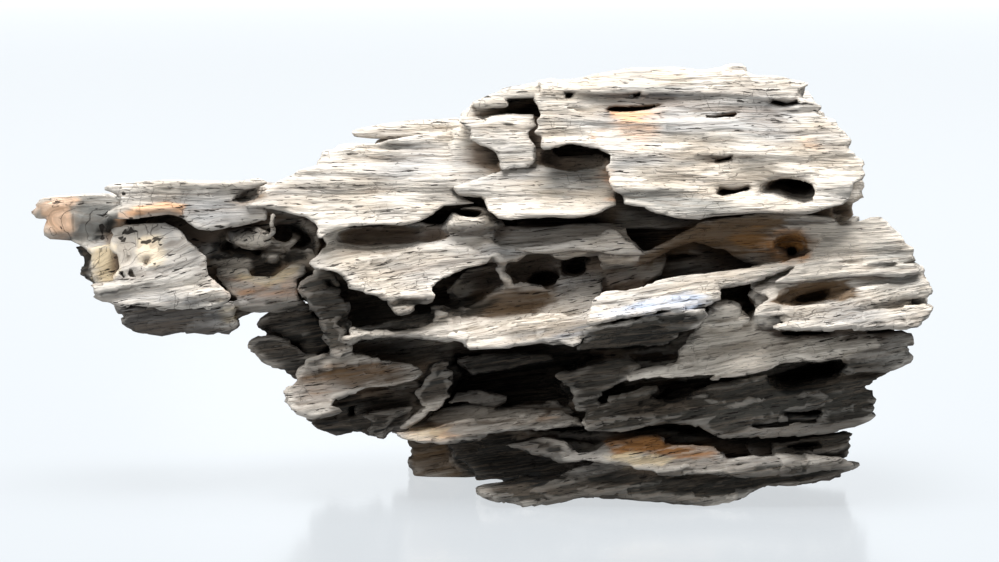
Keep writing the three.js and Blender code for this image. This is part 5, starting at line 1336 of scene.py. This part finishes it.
class Graph:
    """Short ways to add and join a material's nodes."""

    def __init__(self, name):
        self.material = bpy.data.materials.new(name)
        self.material.use_nodes = True
        self.tree = self.material.node_tree
        self.shader = self.tree.nodes["Principled BSDF"]

    def add(self, kind, inputs=None, **settings):
        node = self.tree.nodes.new(kind)
        for key, value in settings.items():
            setattr(node, key, value)
        for key, value in (inputs or {}).items():
            self.put(node.inputs[key], value)
        return node

    def put(self, socket, value):
        if isinstance(value, bpy.types.NodeSocket):
            self.tree.links.new(value, socket)
        else:
            socket.default_value = value

    def math(self, operation, *values):
        return self.add("ShaderNodeMath", dict(enumerate(values)), operation=operation).outputs[0]

    def product(self, *values):
        return functools.reduce(lambda a, b: self.math("MULTIPLY", a, b), values)

    def vector_math(self, operation, a, b):
        return self.add("ShaderNodeVectorMath", {0: a, 1: b}, operation=operation).outputs[0]

    def ramp(self, value, low, high, to_low=0.0, to_high=1.0):
        """value from low..high to to_low..to_high, smoothly and clamped."""
        node = self.add("ShaderNodeMapRange", interpolation_type="SMOOTHSTEP")
        for key, item in enumerate((value, low, high, to_low, to_high)):
            self.put(node.inputs[key], item)
        return node.outputs[0]

    def mix(self, factor, a, b, blend_type="MIX"):
        node = self.add("ShaderNodeMix", data_type="RGBA", blend_type=blend_type)
        for key, value in ((0, factor), (6, a), (7, b)):
            self.put(node.inputs[key], value)
        return node.outputs[2]

    def attribute(self, name):
        return self.add("ShaderNodeAttribute", attribute_name=name).outputs["Fac"]

    def scaled(self, vector, periods):
        """vector with each axis in its own period, given in mm."""
        scale = tuple(1000 / p for p in periods)
        return self.add("ShaderNodeMapping", {"Vector": vector, "Scale": scale}).outputs[0]

    def noise(self, vector, periods, detail=3.0, roughness=0.55):
        settings = {"Vector": self.scaled(vector, periods), "Scale": 1.0, "Detail": detail,
                    "Roughness": roughness}
        return self.add("ShaderNodeTexNoise", settings).outputs[0]

    def cracks(self, vector, periods):
        settings = {"Vector": self.scaled(vector, periods), "Scale": 1.0, "Randomness": 0.9}
        return self.add("ShaderNodeTexVoronoi", settings, feature="DISTANCE_TO_EDGE").outputs["Distance"]


PALE = srgb(216, 208, 197)
MID = srgb(190, 178, 162)
COOL = srgb(150, 151, 152)
LOW_TONE = srgb(150, 142, 132)  # the damp lower half
# the lower half, darker: partly painted shade of the overhanging upper block, partly darker wood
LINE = srgb(112, 98, 84)
CRACK = srgb(30, 25, 22)
# Brown in hollows: dirt with painted shade
HOLLOW_DIRT_AND_SHADE = srgb(120, 94, 68)
# Painted shade, near black, in the deepest hollows
DEEP_SHADE = srgb(30, 24, 19)
SHADE = srgb(66, 60, 55)
# Painted shade on faces that look down
UNDERSIDE_SHADE = srgb(58, 57, 57)
STAIN_COLOURS = {
    "orange": srgb(244, 190, 146),
    "honey": srgb(176, 118, 58),
    "cream": srgb(240, 218, 180),
    "slate": srgb(136, 135, 130),
    "blue": srgb(176, 188, 208),
}
# Painted shade for hollows, dens, undersides and the dim lower shelves; umber also brings brown wood
SHADE_AND_DARK_WOOD_COLOURS = {"umber_and_shade": srgb(96, 75, 52), "dusk_shade": srgb(51, 49, 44), "black_shade": srgb(26, 27, 26)}
# Laid over the painted shade: amber wood, and the bleached kind, partly a painted pool of light
AMBER_AND_LIT_COLOURS = {"amber": srgb(150, 104, 52), "bleached_and_lit": srgb(226, 216, 202)}
STAIN_SHARE, AMBER_AND_LIT_SHARE = 0.9, 0.85  # how much of its own colour a stain brings, and the same for the amber wood and the bleached kind's painted light

# The material's noises: periods along, across and up the grain in mm, detail and roughness
STREAKS = ((70, 6, 2.6), 5, 0.62)
FIBRES = ((40, 2.4, 0.8), 3, 0.65)
BLOTCHES = ((46, 26, 13), 5, 0.6)
PATCHES = ((100, 60, 34), 3)
SPECKS = ((2.6, 2.2, 1.2), 3, 0.7)
LAYERS = ((60, 14, 7), 3, 0.6)
DASHES = ((10, 5, 0.9), 2, 0.6)
CHECKED_PATCHES = ((30, 24, 16), 3)
CHECK_PERIODS = (6, 6, 9)  # of the cells whose edges are checks across the grain
BEND_PERIODS = (36, 24, 12)  # of the grain's own bends
BEND = (0.005, 0.004, 0.0045)  # how far they reach, in metres

# Ramps: a value from one end to the other, then what it is turned into at each end
LAYER_COUNT = 11.0  # torn layers over the whole range of their noise
LAYER_LINE = (0.0, 0.07, 1.0, 0.0)
LAYER_LINE_WHERE = (0.42, 0.54)
DASH = (0.63, 0.655)
DASH_WHERE = (0.35, 0.55, 0.35, 1.0)
CHECK = (0.0, 0.026, 1.0, 0.0)
CHECK_WHERE = (0.54, 0.64)
CHECK_BREAKS = (0.42, 0.54, 0.1, 1.0)
LOW_DARKENING = (0.115, 0.05, 0.0, 0.6)  # metres above the floor over which the colour darkens, partly as painted shade
# Edges that stand out and are open above are painted paler: wear with a painted highlight
LIT_WORN_EDGE = (0.55, 0.72)
LIT_WORN_SKY = (0.5, 0.95, 0.0, 0.55)
# How much of the drawn painted shade stays on the paler edges
SHADE_UNDER_LIT_WEAR = (0.1, 0.5, 0.93, 0.66)

# How strongly each kind of line darkens the wood, and how high each pattern stands in the bump
LAYER_LINE_SHARE, CHECK_SHARE, CRACK_SHARE = 0.75, 0.6, 0.92
STREAK_HEIGHT, LAYER_HEIGHT, FIBRE_HEIGHT, SPECK_HEIGHT, CRACK_DEPTH = 0.5, 0.45, 0.5, 0.3, 0.8


def grain_vector(g):
    """Places along, across and up the grain, which rises to the right in the lower half."""
    place = g.add("ShaderNodeTexCoord").outputs["Object"]
    x, y, z = g.add("ShaderNodeSeparateXYZ", {0: place}).outputs
    steep = g.ramp(z, GRAIN_FLAT_ABOVE / 1000, GRAIN_STEEP_BELOW / 1000)
    up = g.math("SUBTRACT", z, g.product(x, GRAIN_SLOPE, steep))
    straight = g.add("ShaderNodeCombineXYZ", {0: x, 1: y, 2: up}).outputs[0]
    settings = {"Vector": g.scaled(straight, BEND_PERIODS), "Scale": 1.0, "Detail": 3.0}
    bend = g.add("ShaderNodeTexNoise", settings).outputs[1]
    bend = g.vector_math("SUBTRACT", bend, (0.5, 0.5, 0.5))
    bend = g.vector_math("MULTIPLY", bend, BEND)
    return g.vector_math("ADD", straight, bend), z


def stain_and_light_amount(g, kind, streak):
    """How far one kind of mark has taken, with its edges drawn out along the grain: real colour, painted
    shade or painted light.
    """
    stray = g.product(g.math("SUBTRACT", streak, 0.5), 0.7)
    amount = g.ramp(g.math("ADD", g.attribute(kind), stray), 0.12, 0.8)
    return g.product(amount, g.ramp(g.attribute(kind), 0.02, 0.2))


# The wood's own colours, with painted shade and painted highlight mixed in
def weathered_wood():
    g = Graph("weathered_wood")
    grain, height_above = grain_vector(g)
    streak, fibre, blotch, patch, speck = (
        g.noise(grain, *pattern) for pattern in (STREAKS, FIBRES, BLOTCHES, PATCHES, SPECKS)
    )

    # Torn layers: thin dark lines where a slow noise crosses whole steps, and a drop in height there
    layer = g.math("FRACT", g.product(g.noise(grain, *LAYERS), LAYER_COUNT))
    layer_line = g.product(g.ramp(layer, *LAYER_LINE), g.ramp(blotch, *LAYER_LINE_WHERE))
    dash = g.product(g.ramp(g.noise(grain, *DASHES), *DASH), g.ramp(patch, *DASH_WHERE))
    # Checks across the grain, in patches
    checked = g.ramp(g.noise(grain, *CHECKED_PATCHES), *CHECK_WHERE)
    check = g.product(g.ramp(g.cracks(grain, CHECK_PERIODS), *CHECK), checked)
    check = g.product(check, g.ramp(speck, *CHECK_BREAKS))
    crack = g.math("MAXIMUM", g.product(layer_line, LAYER_LINE_SHARE), dash)
    crack = g.math("MAXIMUM", crack, g.product(check, CHECK_SHARE))

    colour = g.mix(g.ramp(blotch, 0.38, 0.62), PALE, MID)
    colour = g.mix(g.ramp(patch, 0.46, 0.66, 0.0, 0.75), colour, COOL)
    uneven = g.product(g.math("SUBTRACT", blotch, 0.5), 0.06)
    colour = g.mix(g.ramp(g.math("ADD", height_above, uneven), *LOW_DARKENING), colour, LOW_TONE)
    for kind, mark_colour in STAIN_COLOURS.items():
        colour = g.mix(g.product(stain_and_light_amount(g, kind, streak), STAIN_SHARE), colour, mark_colour)
    # Painted shade on faces that look down, in hollows (brown with dirt there too) and under overhangs,
    # then edges painted paler where they stand out and are open above: wear with a painted highlight
    edge, openness, sky = g.attribute("edge"), g.attribute("open"), g.attribute("sky")
    normal = g.add("ShaderNodeNewGeometry").outputs["Normal"]
    facing_up = g.add("ShaderNodeSeparateXYZ", {0: normal}).outputs[2]
    for cause, low, high, share, tone in (
        (facing_up, -0.02, -0.55, 0.8, UNDERSIDE_SHADE),
        (openness, 0.5, 0.34, 0.75, HOLLOW_DIRT_AND_SHADE),
        (sky, 0.7, 0.25, 0.85, SHADE),
        (openness, 0.36, 0.2, 0.95, DEEP_SHADE),
    ):
        colour = g.mix(g.ramp(cause, low, high, 0.0, share), colour, tone)
    worn_and_lit = g.product(g.ramp(edge, *LIT_WORN_EDGE), g.ramp(sky, *LIT_WORN_SKY))
    colour = g.mix(worn_and_lit, colour, PALE)
    # Painted shade drawn in the view, kept lighter on the paler edges
    for kind, mark_colour in SHADE_AND_DARK_WOOD_COLOURS.items():
        amount = g.product(stain_and_light_amount(g, kind, streak), g.ramp(worn_and_lit, *SHADE_UNDER_LIT_WEAR))
        colour = g.mix(amount, colour, mark_colour)
    # Amber wood over the painted shade, and the bleached kind, partly a painted pool of light
    for kind, mark_colour in AMBER_AND_LIT_COLOURS.items():
        colour = g.mix(g.product(stain_and_light_amount(g, kind, streak), AMBER_AND_LIT_SHARE), colour, mark_colour)
    colour = g.mix(g.ramp(streak, 0.54, 0.36, 0.0, 0.32), colour, LINE)
    colour = g.mix(g.ramp(fibre, 0.5, 0.34, 0.0, 0.4), colour, LINE)
    colour = g.mix(g.ramp(speck, 0.58, 0.72, 0.0, 0.3), colour, PALE, "SOFT_LIGHT")
    colour = g.mix(g.product(crack, CRACK_SHARE), colour, CRACK)
    g.put(g.shader.inputs["Base Color"], colour)
    g.put(g.shader.inputs["Roughness"], g.ramp(speck, 0.3, 0.7, 0.8, 0.97))
    g.shader.inputs["Specular IOR Level"].default_value = 0.2

    height = g.product(streak, STREAK_HEIGHT)
    for pattern, size in ((layer, LAYER_HEIGHT), (fibre, FIBRE_HEIGHT), (speck, SPECK_HEIGHT)):
        height = g.math("ADD", height, g.product(pattern, size))
    height = g.math("SUBTRACT", height, g.product(crack, CRACK_DEPTH))
    bump = g.add("ShaderNodeBump", {"Strength": 0.8, "Distance": 0.0013, "Height": height})
    g.put(g.shader.inputs["Normal"], bump.outputs[0])
    return g.material


# The studio, in metres. Its card glows a little less from one distance behind the block to another.
STAGE_GLOW_FROM, STAGE_GLOW_TO = 0.7, 3.5
STAGE_GLOW = (0.68, 0.61)
STAGE_WIDE = 9.0  # to each side
STAGE_FRONT = -9.0
STAGE_BEND_START = 5.4  # where the floor starts to turn up into the wall
STAGE_BEND_RADIUS = 1.2
STAGE_BEND_STEPS = 24
STAGE_TOP = 4.0

# Softboxes: place, what they face, size and watts
SOFTBOXES = {
    "overhead": ((0.05, -0.1, 1.3), (0, 0, 0.1), (1.1, 0.6), 38),
    "front_left": ((-1.1, -1.4, 0.8), (0, 0, 0.1), (0.8, 0.8), 8),
    "backdrop": ((0, 1.0, 2.6), (0, 2.3, 0.9), (3.0, 0.8), 60),
}
AIR_COLOUR = srgb(236, 243, 250)
AIR_GLOW = 0.22


def stage_material():
    """White card that glows a little, so that it stays pale under and behind the block."""
    g = Graph("studio_white")
    g.shader.inputs["Base Color"].default_value = srgb(72, 75, 78)
    g.shader.inputs["Roughness"].default_value = 0.16
    g.shader.inputs["Specular IOR Level"].default_value = 0.6
    g.shader.inputs["Emission Color"].default_value = srgb(242, 247, 251)
    place = g.add("ShaderNodeTexCoord").outputs["Object"]
    back = g.add("ShaderNodeSeparateXYZ", {0: place}).outputs[1]
    g.put(g.shader.inputs["Emission Strength"], g.ramp(back, STAGE_GLOW_FROM, STAGE_GLOW_TO, *STAGE_GLOW))
    return g.material


def make_stage():
    """A floor that sweeps up into a wall behind the block, as one sheet."""
    profile = [(STAGE_FRONT, 0.0)]
    for step in range(STAGE_BEND_STEPS + 1):
        turn = math.pi / 2 * step / STAGE_BEND_STEPS
        across = STAGE_BEND_START + STAGE_BEND_RADIUS * math.sin(turn)
        profile.append((across, STAGE_BEND_RADIUS * (1 - math.cos(turn))))
    profile.append((STAGE_BEND_START + STAGE_BEND_RADIUS, STAGE_TOP))
    points = [(side * STAGE_WIDE, y, z) for y, z in profile for side in (-1, 1)]
    faces = [(2 * i, 2 * i + 1, 2 * i + 3, 2 * i + 2) for i in range(len(profile) - 1)]
    mesh = bpy.data.meshes.new("studio_floor")
    mesh.from_pydata(points, [], faces)
    mesh.shade_smooth()
    mesh.materials.append(stage_material())
    floor = bpy.data.objects.new("studio_floor", mesh)
    bpy.context.scene.collection.objects.link(floor)


def add_softbox(name, place, target, size, watts):
    light = bpy.data.lights.new(name, "AREA")
    light.shape = "RECTANGLE"
    light.size, light.size_y = size
    light.energy = watts
    obj = bpy.data.objects.new(name, light)
    obj.location = place
    obj.rotation_euler = (Vector(target) - Vector(place)).to_track_quat("-Z", "Y").to_euler()
    bpy.context.scene.collection.objects.link(obj)


def make_lights():
    for name, box in SOFTBOXES.items():
        add_softbox(name, *box)
    world = bpy.data.worlds.new("studio_air")
    world.use_nodes = True
    air = world.node_tree.nodes["Background"].inputs
    air["Color"].default_value = AIR_COLOUR
    air["Strength"].default_value = AIR_GLOW
    bpy.context.scene.world = world


def make_camera(shift):
    """The camera that the front outlines were drawn from."""
    camera = bpy.data.cameras.new("camera")
    camera.sensor_width = 36
    camera.lens = camera.sensor_width * VIEW_DISTANCE / (FRAME_WIDTH_PX * MM_PER_PX)
    obj = bpy.data.objects.new("camera", camera)
    obj.location = Vector(EYE) / 1000 + shift
    ahead = Vector((0, AXIS[0], AXIS[1]))
    obj.rotation_euler = ahead.to_track_quat("-Z", "Y").to_euler()
    bpy.context.scene.collection.objects.link(obj)
    bpy.context.scene.camera = obj


wood, shift = make_wood()
wood.data.materials.clear()
wood.data.materials.append(weathered_wood())
make_stage()
make_lights()
make_camera(shift)
bpy.context.scene.view_settings.view_transform = "Standard"
